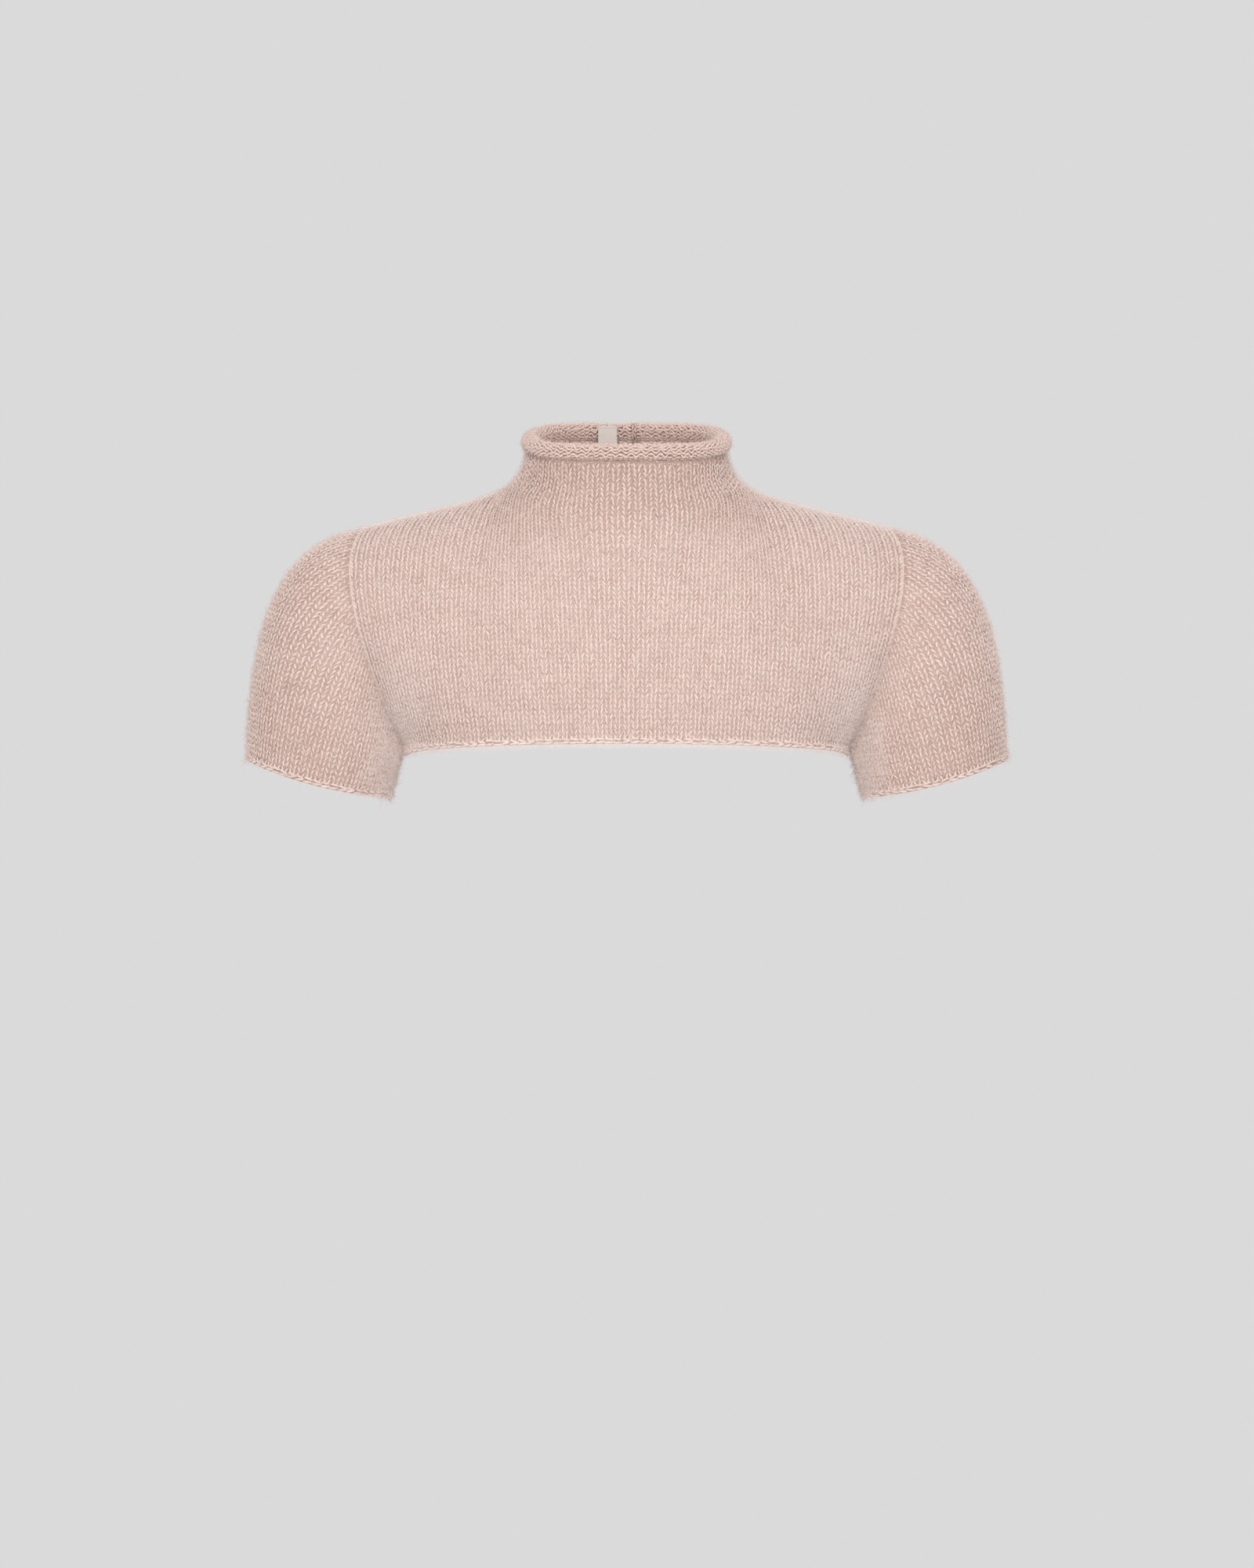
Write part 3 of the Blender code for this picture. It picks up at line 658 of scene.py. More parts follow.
def lay_spindles(pile, chart, leg, wale, row, tone, rng, mirror=False, length=1.0):
    """Lay one spindle at each wale and row, each a little turned, shifted and resized."""
    points, faces, places = spindle(leg)
    count = len(wale)
    turn = rng.normal(0, STITCH_TURN, count)[:, None]
    size = 1 + rng.normal(0, 0.04, count)[:, None]
    shift = rng.normal(0, STITCH_JITTER, (2, count, 1))
    x = points[None, :, 0] * size * (-1 if mirror else 1)
    y = points[None, :, 1] * np.reshape(length, (-1, 1))
    across = x * np.cos(turn) - y * np.sin(turn) + shift[0]
    up = x * np.sin(turn) + y * np.cos(turn) + shift[1]
    out = points[None, :, 2] + rng.normal(0, 0.06, count)[:, None]
    laid = chart.place(wale[:, None] + across / WALE_MM, row[:, None] + up / chart.row_mm, out)
    order = slice(None, None, -1 if (chart.facing < 0) != mirror else 1)
    offsets = (np.arange(count) * len(points))[:, None, None]
    seats = rng.uniform(0, 40, (count, 1, 1, 2))
    # How far out each point lies on its leg, which the yarn colour turns into painted shade and
    # highlight.
    crest = (points[:, 2] - points[:, 2].min()) / np.ptp(points[:, 2])
    pile.add(laid.reshape(-1, 3), (faces[:, order][None] + offsets).reshape(-1, 3),
             (places[:, order][None] + seats).reshape(-1, 3, 2),
             tone=np.repeat(tone, len(points)), crest=np.tile(crest, count))


def selvedges(pile, chart, rng):
    """Two chains of long legs, one to each side of a ribbon chart's middle, a loop to two rows.

    Under each chain runs a plain strand along the edge, dark as painted shadow in the slit.
    """
    rows = np.arange(0.0, chart.end(0.0), 0.5)[None, :]
    sides = np.array([[-1.0], [1.0]]) * SELVEDGE_OUT / WALE_MM
    tubes(pile, chart.place(sides, rows, -SELVEDGE_DEPTH), chart.normal(sides, rows),
          SELVEDGE_STRAND, 6, tone=SEAM_SHADE_TONE, slot=1)
    rows = np.arange(0.3, chart.end(0.0) - 0.5, 1.3)
    for mirror in (False, True):
        lay_spindles(pile, chart, SELVEDGE_LEG, np.zeros_like(rows), rows + 0.7 * mirror,
                     rng.normal(0, 0.6, len(rows)), rng, mirror)


def knit(pile, chart, rng):
    """Cover a chart with knit stitches above its cast-off edge: two legs that lean apart.

    A wale's last stitch has only the share of a row that is left.  A stitch's tone is a few
    uneven rows, slow blotches along the yarn as two crossed sine waves, and a chance part.
    """
    wales = np.arange(chart.first + 0.5, chart.last, 1.0)
    first_row = STITCH_START / chart.row_mm
    room = chart.end(wales) - first_row
    rows = np.arange(int(room.max()) + 1)
    left = room[:, None] - rows[None, :]
    keep = left > LEAST_STITCH
    wale, row = (grid[keep] for grid in np.meshgrid(wales, rows, indexing="ij"))
    row = row + first_row
    bands = np.interp(row, np.arange(90), rng.normal(0, 0.2, 90))
    blotch = np.sin(0.37 * wale + 1.9 * np.sin(0.21 * row)) * np.sin(0.29 * row + 0.4)
    tone = bands + 0.2 * blotch + rng.normal(0, 0.4, len(wale))
    for mirror in (False, True):
        lay_spindles(pile, chart, KNIT_LEG, wale, row, tone + rng.normal(0, 0.6, len(tone)), rng,
                     mirror, np.minimum(left[keep], 1.0))


def cast_off(pile, chart, rng):
    """Chain along the chart's lower edge: two strands of legs that meet once a wale."""
    wale = np.arange(chart.first, chart.last, 1.0)
    row = np.full_like(wale, CHAIN_MIDDLE / chart.row_mm)
    for way in (1, -1):
        leg = {**CHAIN_LEG, "up": [way * value for value in CHAIN_LEG["up"]]}
        lay_spindles(pile, chart, leg, wale, row, rng.normal(-0.1, 0.5, len(wale)), rng)


def tubes(pile, points, normals, radius, sides, closed=False, tone=0.0, slot=0):
    """Round tubes along rows of points (r, t, 3), with rings set square to each row.

    A ring's point is the centre plus the radius times the sine of its angle along the normal
    and the cosine beside it.  Open tubes get flat end caps.
    """
    rows, count = points.shape[:2]
    ahead = np.gradient(points, axis=1)
    if closed:
        ahead[:, 0] = ahead[:, -1] = points[:, 1] - points[:, -2]
    beside = unit(np.cross(ahead, normals))
    upward = unit(np.cross(beside, ahead))
    angle = (np.arange(sides) * 2 * math.pi / sides)[:, None]
    radius = np.broadcast_to(radius, (rows, count))[..., None, None]
    ring = (points[:, :, None] + radius * np.cos(angle) * beside[:, :, None]
            + radius * np.sin(angle) * upward[:, :, None])
    if closed:
        ring = ring[:, :-1]
    index = np.arange(ring[..., 0].size).reshape(ring.shape[:3])
    low = index if closed else index[:, :-1]
    high = np.roll(index, -1, axis=1) if closed else index[:, 1:]
    quads = together(low, high, np.roll(high, -1, axis=2), np.roll(low, -1, axis=2))
    length = np.cumsum(np.linalg.norm(np.diff(points, axis=1), axis=2), axis=1)
    length = np.pad(length, ((0, 0), (1, 0)))[..., None] / YARN_LENGTH
    near, far = length[:, :quads.shape[1]], length[:, 1:quads.shape[1] + 1]
    turn = np.arange(sides) / sides
    after = turn + 1.0 / sides
    uv = np.stack([together(near, turn), together(far, turn), together(far, after),
                   together(near, after)], axis=-2)
    start = pile.count
    pile.add(ring.reshape(-1, 3), quads.reshape(-1, 4), uv.reshape(-1, 4, 2),
             tone=np.repeat(np.broadcast_to(tone, rows), index[0].size), slot=slot)
    if not closed:
        pile.join(np.concatenate([index[:, 0], index[:, -1, ::-1]]) + start, slot=slot)


def purl_rows(pile, chart, rows, out, rng, side=1.0, from_top=False):
    """Purl rows: each is one wavy yarn, a wave to a wale, that bulges at its crests and troughs.

    The row's place is row + wave times the sine of one turn a wale.  Its bulge is minus the
    cosine of two turns a wale.  Each bump has its own chance size, place and bulge.
    """
    count = int(round((chart.last - chart.first) * PURL_SAMPLES)) + 1
    wale = np.linspace(chart.first, chart.last, count)[None, :]
    phase = 2 * math.pi * wale
    knots = np.arange(chart.first, chart.last + 1, 0.5)
    drift, swell = (
        np.stack([np.interp(wale[0], knots, rng.normal(0, 1, len(knots))) for _ in rows])
        for _ in range(2))
    row = np.asarray(rows, float)[:, None] + PURL_WAVE * (1 + 0.30 * swell) * np.sin(phase)
    if from_top:
        row = chart.end(wale) - row
    row = row + 0.13 * drift
    bulge = out - side * (PURL_BULGE * np.cos(2 * phase) - 0.22 * swell)
    radius = PURL_YARN * (1 - 0.10 * np.cos(2 * phase) + 0.10 * drift)
    tubes(pile, chart.place(wale, row, bulge), chart.normal(wale, row) * side, radius, 5,
          tone=rng.normal(0.2, 0.4, len(rows)))


def roots(chart, count, rng, depth, wales=None):
    """Chance places on a chart, with the outward normal and two chance directions along it."""
    wale = rng.uniform(*(wales or (chart.first, chart.last)), count)
    row = rng.uniform(0.0, 1.0, count) * chart.end(wale)
    normal = chart.normal(wale, row)
    chance = rng.normal(0, 1, (2, count, 3))
    along = unit(chance - np.sum(chance * normal, axis=-1, keepdims=True) * normal)
    return chart.place(wale, row, depth), normal, along


def triangle_round(way, towards, radius):
    """Three spokes square to a way (n, 3, 3), the first one square to a second direction too."""
    beside = unit(np.cross(way, towards))
    above = np.cross(beside, way)
    angle = (np.arange(3) * 2 * math.pi / 3)[:, None]
    return (np.cos(angle) * beside[:, None] + np.sin(angle) * above[:, None]) * radius


def needles(pile, rings, tip, rng):
    """Closed needles: triangles (n, 3, 3) joined in turn, then drawn to a tip (n, 3)."""
    end = 3 * len(rings)
    faces = [(0, 1, 2)]
    for side in range(3):
        after = (side + 1) % 3
        for low in range(0, end - 3, 3):
            high = low + 3
            faces += [(side + low, side + high, after + high),
                      (side + low, after + high, after + low)]
        faces.append((side + end - 3, end, after + end - 3))
    count = len(tip)
    faces = np.array(faces)[None] + (end + 1) * np.arange(count)[:, None, None]
    pile.add(np.concatenate([*rings, tip[:, None]], axis=1).reshape(-1, 3), faces.reshape(-1, 3),
             tone=np.repeat(rng.normal(0, 1, count), end + 1))


def fuzz(pile, chart, count, rng):
    """Short fuzz: straight needles that lean out of the yarn."""
    root, normal, along = roots(chart, count, rng, FUZZ_ROOT)
    way = unit(along[0] + rng.uniform(0.15, 1.1, (count, 1)) * normal)
    ring = triangle_round(way, along[1], FUZZ_RADIUS)
    tip = root + rng.uniform(*FUZZ_LENGTH, (count, 1)) * way
    needles(pile, [root[:, None] + ring], tip, rng)


def hair(pile, chart, count, rng, wales=None, radius=HAIR_RADIUS):
    """Mohair hair: needles with one bend, rooted on the stitches.

    A hair starts partly outwards and partly along the cloth, and its outer half bends towards
    a second chance direction with a little droop.
    """
    root, normal, along = roots(chart, count, rng, HAIR_ROOT, wales)
    length = rng.uniform(*HAIR_LENGTH, count)
    long_ones = rng.uniform(0, 1, count) < LONG_HAIR_SHARE
    length = np.where(long_ones, LONG_HAIR_LENGTH, length)[:, None]
    first_way = unit(along[0] + rng.uniform(0.25, 0.75, (count, 1)) * normal)
    second_way = 0.75 * first_way + 0.75 * along[1] + rng.uniform(-0.15, 0.2, (count, 1)) * normal
    second_way[:, 2] -= HAIR_DROOP
    second_way = unit(second_way)
    bend = root + 0.5 * length * first_way
    ring = triangle_round(first_way, second_way, radius)
    needles(pile, [root[:, None] + ring, bend[:, None] + 0.8 * ring],
            bend + 0.5 * length * second_way, rng)


def mohair(pile, chart, rng, share=1.0):
    """Fuzz and hair over a chart, by its number of stitches."""
    stitches = share * chart.ends.mean() * (chart.last - chart.first)
    fuzz(pile, chart, int(FUZZ_PER_STITCH * stitches), rng)
    hair(pile, chart, int(HAIRS_PER_STITCH * stitches), rng)


def shell(points, keep, uv, wrap=False, depths=(SHELL_OUTER, SHELL_INNER), crest=1.0):
    """Closed thin wall under a grid of surface points, with cells left out where keep is false.

    Both skins follow the grid, moved in along its normals, which are the sum of the kept
    cells' cross products.  The outer skin has the first material, the inner skin and the rim
    have the second.
    """
    rows, columns = points.shape[:2]
    after = np.roll(points, -1, axis=1) if wrap else points[:, 1:]
    here = points if wrap else points[:, :-1]
    face = np.where(keep[..., None], np.cross(after[1:] - here[:-1], here[1:] - after[:-1]), 0.0)
    normals = np.zeros_like(points)
    places = np.arange(face.shape[1])
    for row in (0, 1):
        for column in (0, 1):
            np.add.at(normals[row:row + face.shape[0]],
                      (slice(None), (places + column) % columns), face)
    normals = unit(normals)
    if not wrap:
        normals[np.abs(points[..., 1]) < 0.51 * SEAM_GAP, 1] = 0.0
        normals = unit(normals)
    both = np.concatenate([(points - depth * normals).reshape(-1, 3) for depth in depths])
    index = np.arange(rows * columns).reshape(rows, columns)
    right = np.roll(index, -1, axis=1) if wrap else index[:, 1:]
    left = index if wrap else index[:, :-1]
    cells = together(left[:-1], right[:-1], right[1:], left[1:])
    inner = rows * columns
    cell_uv = np.stack([uv[:-1, :-1], uv[:-1, 1:], uv[1:, 1:], uv[1:, :-1]], axis=-2)
    pile = Pile()
    pile.add(both, cells[keep], cell_uv[keep], crest=crest)
    pile.join(cells[keep][:, ::-1] + inner, cell_uv[keep][:, ::-1], slot=1)
    padded = np.pad(keep, 1)
    if wrap:
        padded[:, 0] = padded[:, -2]
        padded[:, -1] = padded[:, 1]
    open_sides = (~padded[:-2, 1:-1], ~padded[1:-1, 2:], ~padded[2:, 1:-1], ~padded[1:-1, :-2])
    for corner, missing in enumerate(open_sides):
        follow = (corner + 1) % 4
        edge, rim_uv = cells[keep & missing], cell_uv[keep & missing]
        first, second = edge[:, corner], edge[:, follow]
        pile.join(together(second, first, first + inner, second + inner),
                  rim_uv[:, [follow, corner, corner, follow]], slot=1)
    return pile


def nap(points, keep, uv, wrap=False):
    """Nap over a grid of surface points: two skins that fade out over the first rows."""
    fade = np.ones(points.shape[:2])
    fade[:len(NAP_FADE)] = np.array(NAP_FADE)[:, None]
    return shell(points, keep, uv, wrap, (-NAP_HIGH, -NAP_LOW), np.tile(fade.ravel(), 2))


def panel_grid(name, lowest=-1.0):
    """Points of a panel's shell, the cells that are cloth, and each point's wale and row.

    The columns go from side seam to side seam, with the slit's edges on the back.  They are
    turned round there, so that the cells face outwards.
    """
    outside = np.linspace(NECK_SHARE, 1.0, 17)[1:]
    band = np.linspace(1.0, SIDE, 4)[1:]
    middle = np.linspace(-NECK_SHARE, NECK_SHARE, 37)
    if name == "back":
        left, right = slit_columns()
        middle = np.concatenate([np.linspace(-NECK_SHARE, left, 19),
                                 np.linspace(right, NECK_SHARE, 19)])
    columns = np.concatenate([-band[::-1], -outside[::-1], middle, outside, band])[None, :]
    chest = np.linspace(0, 1, 39)
    chest[np.argmin(np.abs(chest - SLIT_FOOT_ROW))] = SLIT_FOOT_ROW
    rows = np.concatenate([np.linspace(lowest, 0, 4), chest[1:], np.linspace(1, 2, 15)[1:]])
    points = cloth_surface(PANELS[name], columns, rows[:, None])
    tucked = points[-1] + ROLL_TUCK * unit(points[-1] - points[-2])
    points = np.concatenate([points, tucked[None]])
    rows = np.append(rows, 2.05)[:, None]
    middle_u = 0.5 * (columns[:, 1:] + columns[:, :-1])
    middle_v = 0.5 * (rows[1:] + rows[:-1])
    across = np.abs(middle_u)
    keep = (middle_v < 0) | ((across < 1) & (middle_v < 1)) | (across < NECK_SHARE)
    if name == "back":
        keep &= ~((middle_u > left) & (middle_u < right) & (middle_v > SLIT_FOOT_ROW))
    steps = np.linalg.norm(np.diff(points, axis=0), axis=2)
    row = np.pad(np.cumsum(steps, axis=0), ((1, 0), (0, 0))) / ROW_MM
    uv = together(signed_interp(columns, COLUMN_STOPS, WALE_STOPS), row)
    way = -1 if name == "back" else 1
    return points[:, ::way], keep[:, ::way], uv[:, ::way]


def roll_frame(turn):
    """Centre of the rolled edge at each turn, with its outward and upward directions."""
    across, deep = squared_ring(turn)
    centre = together(ROLL_HALF_WIDTH * across, ROLL_HALF_DEPTH * deep, roll_height(turn))
    ahead = unit(np.gradient(centre, axis=0))
    upward = unit(np.array([0.0, 0.0, 1.0]) - ahead[:, 2:] * ahead)
    return centre, np.cross(upward, ahead), upward


def roll_spiral(steps, radius, last_turn):
    """Rolled edge as a spiral strip, as points (wales, around, 3).

    The cross section starts under the roll, goes up its inner side, over the top and down the
    outer side.  Near a full turn its radius starts to shrink, and it curls on inside.
    """
    first = ring_turn(SLIT_RIGHT_X / ROLL_HALF_WIDTH)
    last = 2 * math.pi + ring_turn(SLIT_LEFT_X / ROLL_HALF_WIDTH)
    centre, outward, upward = roll_frame(np.linspace(first, last, ROLL_WALES * CHART_STEPS + 1))
    around = np.linspace(0, last_turn, steps)
    size = radius - ROLL_CURL * np.clip(around - ROLL_CURL_START, 0, None)
    return (centre[:, None] - (size * np.sin(around))[None, :, None] * outward[:, None]
            - (size * np.cos(around))[None, :, None] * upward[:, None])


def slit_path(steps):
    """Middle line of the slit up the back, from its foot to the neck's top, and the way across."""
    middle = 0.5 * sum(slit_columns())
    v = np.linspace(SLIT_FOOT_ROW, 2.0, steps)
    right, left, path = (cloth_surface(PANELS["back"], middle + step, v)
                         for step in (0.01, -0.01, 0.0))
    return path, unit(right - left)


def roll_end_path(steps):
    """Circle round the rolled edge in the middle of the slit, and the way across."""
    turn = ring_turn(0.5 * (SLIT_LEFT_X + SLIT_RIGHT_X) / ROLL_HALF_WIDTH)
    centre, outward, upward = (value[1] for value in roll_frame(turn + np.array([-0.01, 0, 0.01])))
    around = np.linspace(0, 2 * math.pi, steps)[:, None]
    path = centre - (ROLL_RADIUS + 0.1) * (np.sin(around) * outward + np.cos(around) * upward)
    return path, np.broadcast_to(np.cross(outward, upward), path.shape)


def neck_seat(x, z):
    """Point of the back neck nearest to a place seen flat on, with the ways out and up there."""
    cells = 96
    u, v = np.meshgrid(np.linspace(-0.12, 0.12, cells + 1), np.linspace(1.02, 1.98, cells + 1))
    points = panel_surface(PANELS["back"], u, v)
    miss = (points[..., 0] - x) ** 2 + (points[..., 2] - z) ** 2
    row, column = np.unravel_index(np.argmin(miss), miss.shape)
    row = min(max(row, 1), cells - 1)
    along = unit(points[row + 1, column] - points[row - 1, column])
    out = unit(np.cross(along, points[row, column + 1] - points[row, column - 1]))
    return points[row, column], out * np.sign(out[1]), along


def turned(pile, profile, origin, axis, across, sides):
    """Closed form turned round an axis, from a profile of radii and heights with its tip last."""
    profile = np.asarray(profile)
    angle = (np.arange(sides) * 2 * math.pi / sides)[:, None]
    spoke = np.cos(angle) * across + np.sin(angle) * np.cross(axis, across)
    rings = (origin + profile[:-1, 1][:, None, None] * axis
             + profile[:-1, 0][:, None, None] * spoke[None])
    points = np.concatenate([rings.reshape(-1, 3), origin + profile[[0, -1], 1:] * axis])
    index = np.arange(rings[..., 0].size).reshape(-1, sides)
    low, high = index[:-1], index[1:]
    quads = together(low, np.roll(low, -1, 1), np.roll(high, -1, 1), high)
    pile.add(points, quads.reshape(-1, 4))
    pile.join(together(np.roll(index[0], -1), index[0], index.size))
    pile.join(together(index[-1], np.roll(index[-1], -1), index.size + 1))


class Nodes:
    """Short hand for a node tree, whose inputs are given as sockets or as plain values."""

    def __init__(self, tree):
        self.tree = tree

    def give(self, target, value):
        """Link a socket to an input, or set the input's own value."""
        if isinstance(value, bpy.types.NodeSocket):
            self.tree.links.new(value, target)
        else:
            target.default_value = value

    def make(self, kind, inputs=(), **fields):
        """Node of a kind, with its fields set and its inputs given by name or number."""
        node = self.tree.nodes.new(f"ShaderNode{kind}")
        for key, value in fields.items():
            setattr(node, key, value)
        for key, value in dict(inputs).items():
            self.give(node.inputs[key], value)
        return node

    def math(self, operation, *values, clamp=False):
        """Result of a Math node."""
        return self.make("Math", enumerate(values), operation=operation,
                         use_clamp=clamp).outputs[0]

    def sum_of(self, *terms):
        """Sum of sockets, each times its weight."""
        total = 0.0
        for socket, weight in terms:
            total = self.math("MULTIPLY_ADD", socket, weight, total)
        return total

    def blend(self, share, low, high):
        """Colour between low and high."""
        return self.make("Mix", {0: share, 6: low, 7: high}, data_type="RGBA",
                         clamp_factor=True).outputs[2]

    def noise(self, vector, scale, detail, dimensions="3D", **more):
        """Value of a noise texture."""
        inputs = {"Vector": vector, "Scale": scale, "Detail": detail, **more}
        return self.make("TexNoise", inputs, noise_dimensions=dimensions).outputs[0]

    def place(self):
        """Place on the piece, in metres."""
        return self.make("TexCoord").outputs["Object"]

    def yarn_place(self):
        """Place along and round the yarn, or by wale and row on cloth."""
        return self.make("UVMap", uv_map="Yarn").outputs[0]

    def value_of(self, name):
        """Value of an attribute of the mesh."""
        return self.make("Attribute", attribute_name=name).outputs["Fac"]

    def group(self, tree, **inputs):
        """Outputs of a node group."""
        return self.make("Group", inputs, node_tree=tree).outputs


def rgba(red, green, blue):
    """Colour with full alpha."""
    return (red, green, blue, 1.0)


def new_group(name, inputs, outputs):
    """Empty node group with named sockets, its node helper, what it is given and what it gives."""
    tree = bpy.data.node_groups.new(name, "ShaderNodeTree")
    for direction, sockets in (("INPUT", inputs), ("OUTPUT", outputs)):
        for socket, kind in sockets.items():
            tree.interface.new_socket(socket, in_out=direction, socket_type=f"NodeSocket{kind}")
    return (tree, Nodes(tree), tree.nodes.new("NodeGroupInput").outputs,
            tree.nodes.new("NodeGroupOutput").inputs)


def painted_shade_group():
    """How much painted shade the knitting gets by its place: on the neck, sleeves and cuffs.

    Each is an even ramp up or down along an axis: the neck by height and nearness to the
    middle, the sleeves by distance from it, and the cuffs by depth below the shoulders.  The
    armpits get painted light instead: paler, by height and by distance.
    """
    tree, nodes, _, result = new_group("painted shade and light by place", {}, {"Depth": "Float"})
    place = nodes.make("SeparateXYZ", {0: nodes.place()}).outputs
    aside = nodes.math("ABSOLUTE", place[0])

    def ramp(value, start, end):
        inputs = {"Value": value, "From Min": start, "From Max": end}
        return nodes.make("MapRange", inputs).outputs[0]

    # Painted shade on the neck below the roll, on the outer sleeves and low on the sleeves; painted
    # light in the armpits.
    neck = nodes.math("MULTIPLY", ramp(place[2], -0.035, 0.012), ramp(aside, 0.115, 0.085))
    low = nodes.math("MULTIPLY", ramp(place[2], -0.11, -0.19), ramp(aside, 0.15, 0.165))
    armpit = nodes.math("MULTIPLY", ramp(place[2], -0.085, -0.15), ramp(aside, 0.128, 0.150))
    armpit = nodes.math("MULTIPLY", armpit, ramp(aside, 0.178, 0.158))
    nodes.give(result["Depth"], nodes.sum_of((neck, 1.0), (ramp(aside, 0.16, 0.22), 0.35),
                                             (low, 0.35), (armpit, -0.9)))
    return tree


def yarn_group():
    """Yarn seen close: fibres along it and fuzz across it, with painted shade low on each leg
    and a painted highlight on its crest.

    The share of the pale colour is a sum of the stitch's tone, its crest as painted shade and
    highlight, the fibres and fuzz, less the painted shade by place.
    """
    tree, nodes, given, result = new_group(
        "brushed yarn", {"Deep": "Color", "Pale": "Color", "Lightness": "Float"},
        {"Color": "Color", "Height": "Float"})
    along = nodes.make("Mapping", {"Vector": nodes.yarn_place(), "Rotation": (0.0, 0.0, 0.35),
                                   "Scale": (1.6, 7.0, 1.0)}).outputs[0]
    fibres = nodes.noise(along, 2.2, 3.0, "2D", Roughness=0.65)
    place = nodes.place()
    fuzz_height = nodes.noise(place, 1400.0, 2.0)
    # Painted shade and highlight: the crest makes each leg paler the further out it lies.
    share = nodes.sum_of((nodes.value_of("tone"), 0.20), (nodes.value_of("crest"), 0.46),
                         (fibres, 0.60), (fuzz_height, 0.40), (nodes.noise(place, 38.0, 1.0), 0.12),
                         (nodes.group(PAINTED_SHADE)[0], -0.16), (given["Lightness"], 1.0))
    nodes.give(result["Color"], nodes.blend(share, given["Deep"], given["Pale"]))
    nodes.give(result["Height"], nodes.sum_of((fibres, 0.6), (fuzz_height, 0.5)))
    return tree


def fibre_group():
    """Loose fibres as thin curved lines: the places where a soft noise passes its middle value.

    Three noises of their own size give three sets of lines.  A line is strongest in its middle
    and falls evenly to nothing at its width.  A slower noise thins them out in patches, and
    the places with painted shade have fewer, deeper coloured; the painted-light armpits more.
    The colours are paler than the yarn: partly the fibres' own, partly painted light they scatter.
    """
    tree, nodes, given, result = new_group(
        "loose fibres", dict.fromkeys(("Width", "Strength", "Haze", "Paleness"), "Float"),
        {"Color": "Color", "Alpha": "Float"})
    place = nodes.place()
    line = 0.0
    for size, seed in ((480.0, 0.0), (760.0, 4.0), (1150.0, 9.0)):
        noise = nodes.noise(place, size, 1.0, "4D", W=seed, Distortion=0.8)
        away = nodes.math("ABSOLUTE", nodes.math("SUBTRACT", noise, 0.5))
        near = nodes.math("SUBTRACT", 1.0, nodes.math("DIVIDE", away, given["Width"]), clamp=True)
        line = nodes.math("MAXIMUM", line, near)
    cloud = nodes.noise(place, 90.0, 1.0)
    deeper = nodes.group(PAINTED_SHADE)[0]
    patch = nodes.math("MULTIPLY_ADD", cloud, 0.7, 0.6, clamp=True)
    alpha = nodes.math("MULTIPLY", nodes.math("ADD", line, given["Haze"]), patch)
    alpha = nodes.math("MULTIPLY", alpha, given["Strength"])
    thinned = nodes.math("MULTIPLY_ADD", deeper, -0.35, 1.0)
    share = nodes.sum_of((cloud, 0.5), (deeper, -0.7), (given["Paleness"], 1.0))
    # Partly painted light: fibre colours paler than the yarn, lifted further by Paleness, for the
    # light loose fibres scatter.
    nodes.give(result["Color"],
               nodes.blend(share, rgba(0.86, 0.675, 0.61), rgba(0.975, 0.85, 0.80)))
    nodes.give(result["Alpha"], nodes.math("MULTIPLY", alpha, thinned, clamp=True))
    return tree


def new_material(name, roughness, look, bump=(0.0, 0.0), **constants):
    """Material with its shader's plain values set, and what look(nodes) gives linked to it.

    A look gives the base colour, then the height for a bump of this strength and distance in
    metres, then the alpha.  The last two may be left out.
    """
    material = bpy.data.materials.new(name)
    material.use_nodes = True
    nodes = Nodes(material.node_tree)
    shader = material.node_tree.nodes["Principled BSDF"].inputs
    shader["Roughness"].default_value = roughness
    for key, value in constants.items():
        shader[key.replace("_", " ")].default_value = value
    colour, height, alpha = (*look(nodes), None, None)[:3]
    nodes.give(shader["Base Color"], colour)
    if height is not None:
        inputs = {"Height": height, "Strength": bump[0], "Distance": bump[1]}
        nodes.give(shader["Normal"], nodes.make("Bump", inputs).outputs[0])
    if alpha is not None:
        nodes.give(shader["Alpha"], alpha)
    return material


def yarn_material(name, deep, pale, lightness=0.0):
    """Brushed mohair yarn: soft sheen, with the fibres as bump."""
    def look(nodes):
        given = nodes.group(YARN, Deep=rgba(*deep), Pale=rgba(*pale), Lightness=lightness)
        return given["Color"], given["Height"]

    return new_material(name, 0.92, look, (0.5, 0.0004), Sheen_Weight=0.25, Sheen_Roughness=0.45,
                        Specular_IOR_Level=0.25)


def backing_material(name, deep, pale, purl):
    """Cloth under the stitches, darker where the painted shade by place falls.  Its inner face
    shows purl bumps, two arcs to each wale and row.

    The purl height is the sine of one turn a row, shifted by the sine of one turn a wale.
    """
    def look(nodes):
        place = nodes.make("SeparateXYZ", {0: nodes.yarn_place()}).outputs
        wave = nodes.math("SINE", nodes.math("MULTIPLY", place[0], 2 * math.pi))
        course = nodes.math("SINE", nodes.sum_of((place[1], 2 * math.pi), (wave, 1.5)))
        wool = nodes.noise(nodes.place(), 900.0, 3.0)
        share = nodes.sum_of((course, 0.3 if purl else 0.1), (wool, 0.9),
                             (nodes.group(PAINTED_SHADE)[0], -0.3))
        return (nodes.blend(share, rgba(*deep), rgba(*pale)),
                nodes.sum_of((course, 0.5 if purl else 0.12), (wool, 0.8)))

    return new_material(name, 0.95, look, (0.8, 0.0010), Sheen_Weight=0.2, Specular_IOR_Level=0.2)


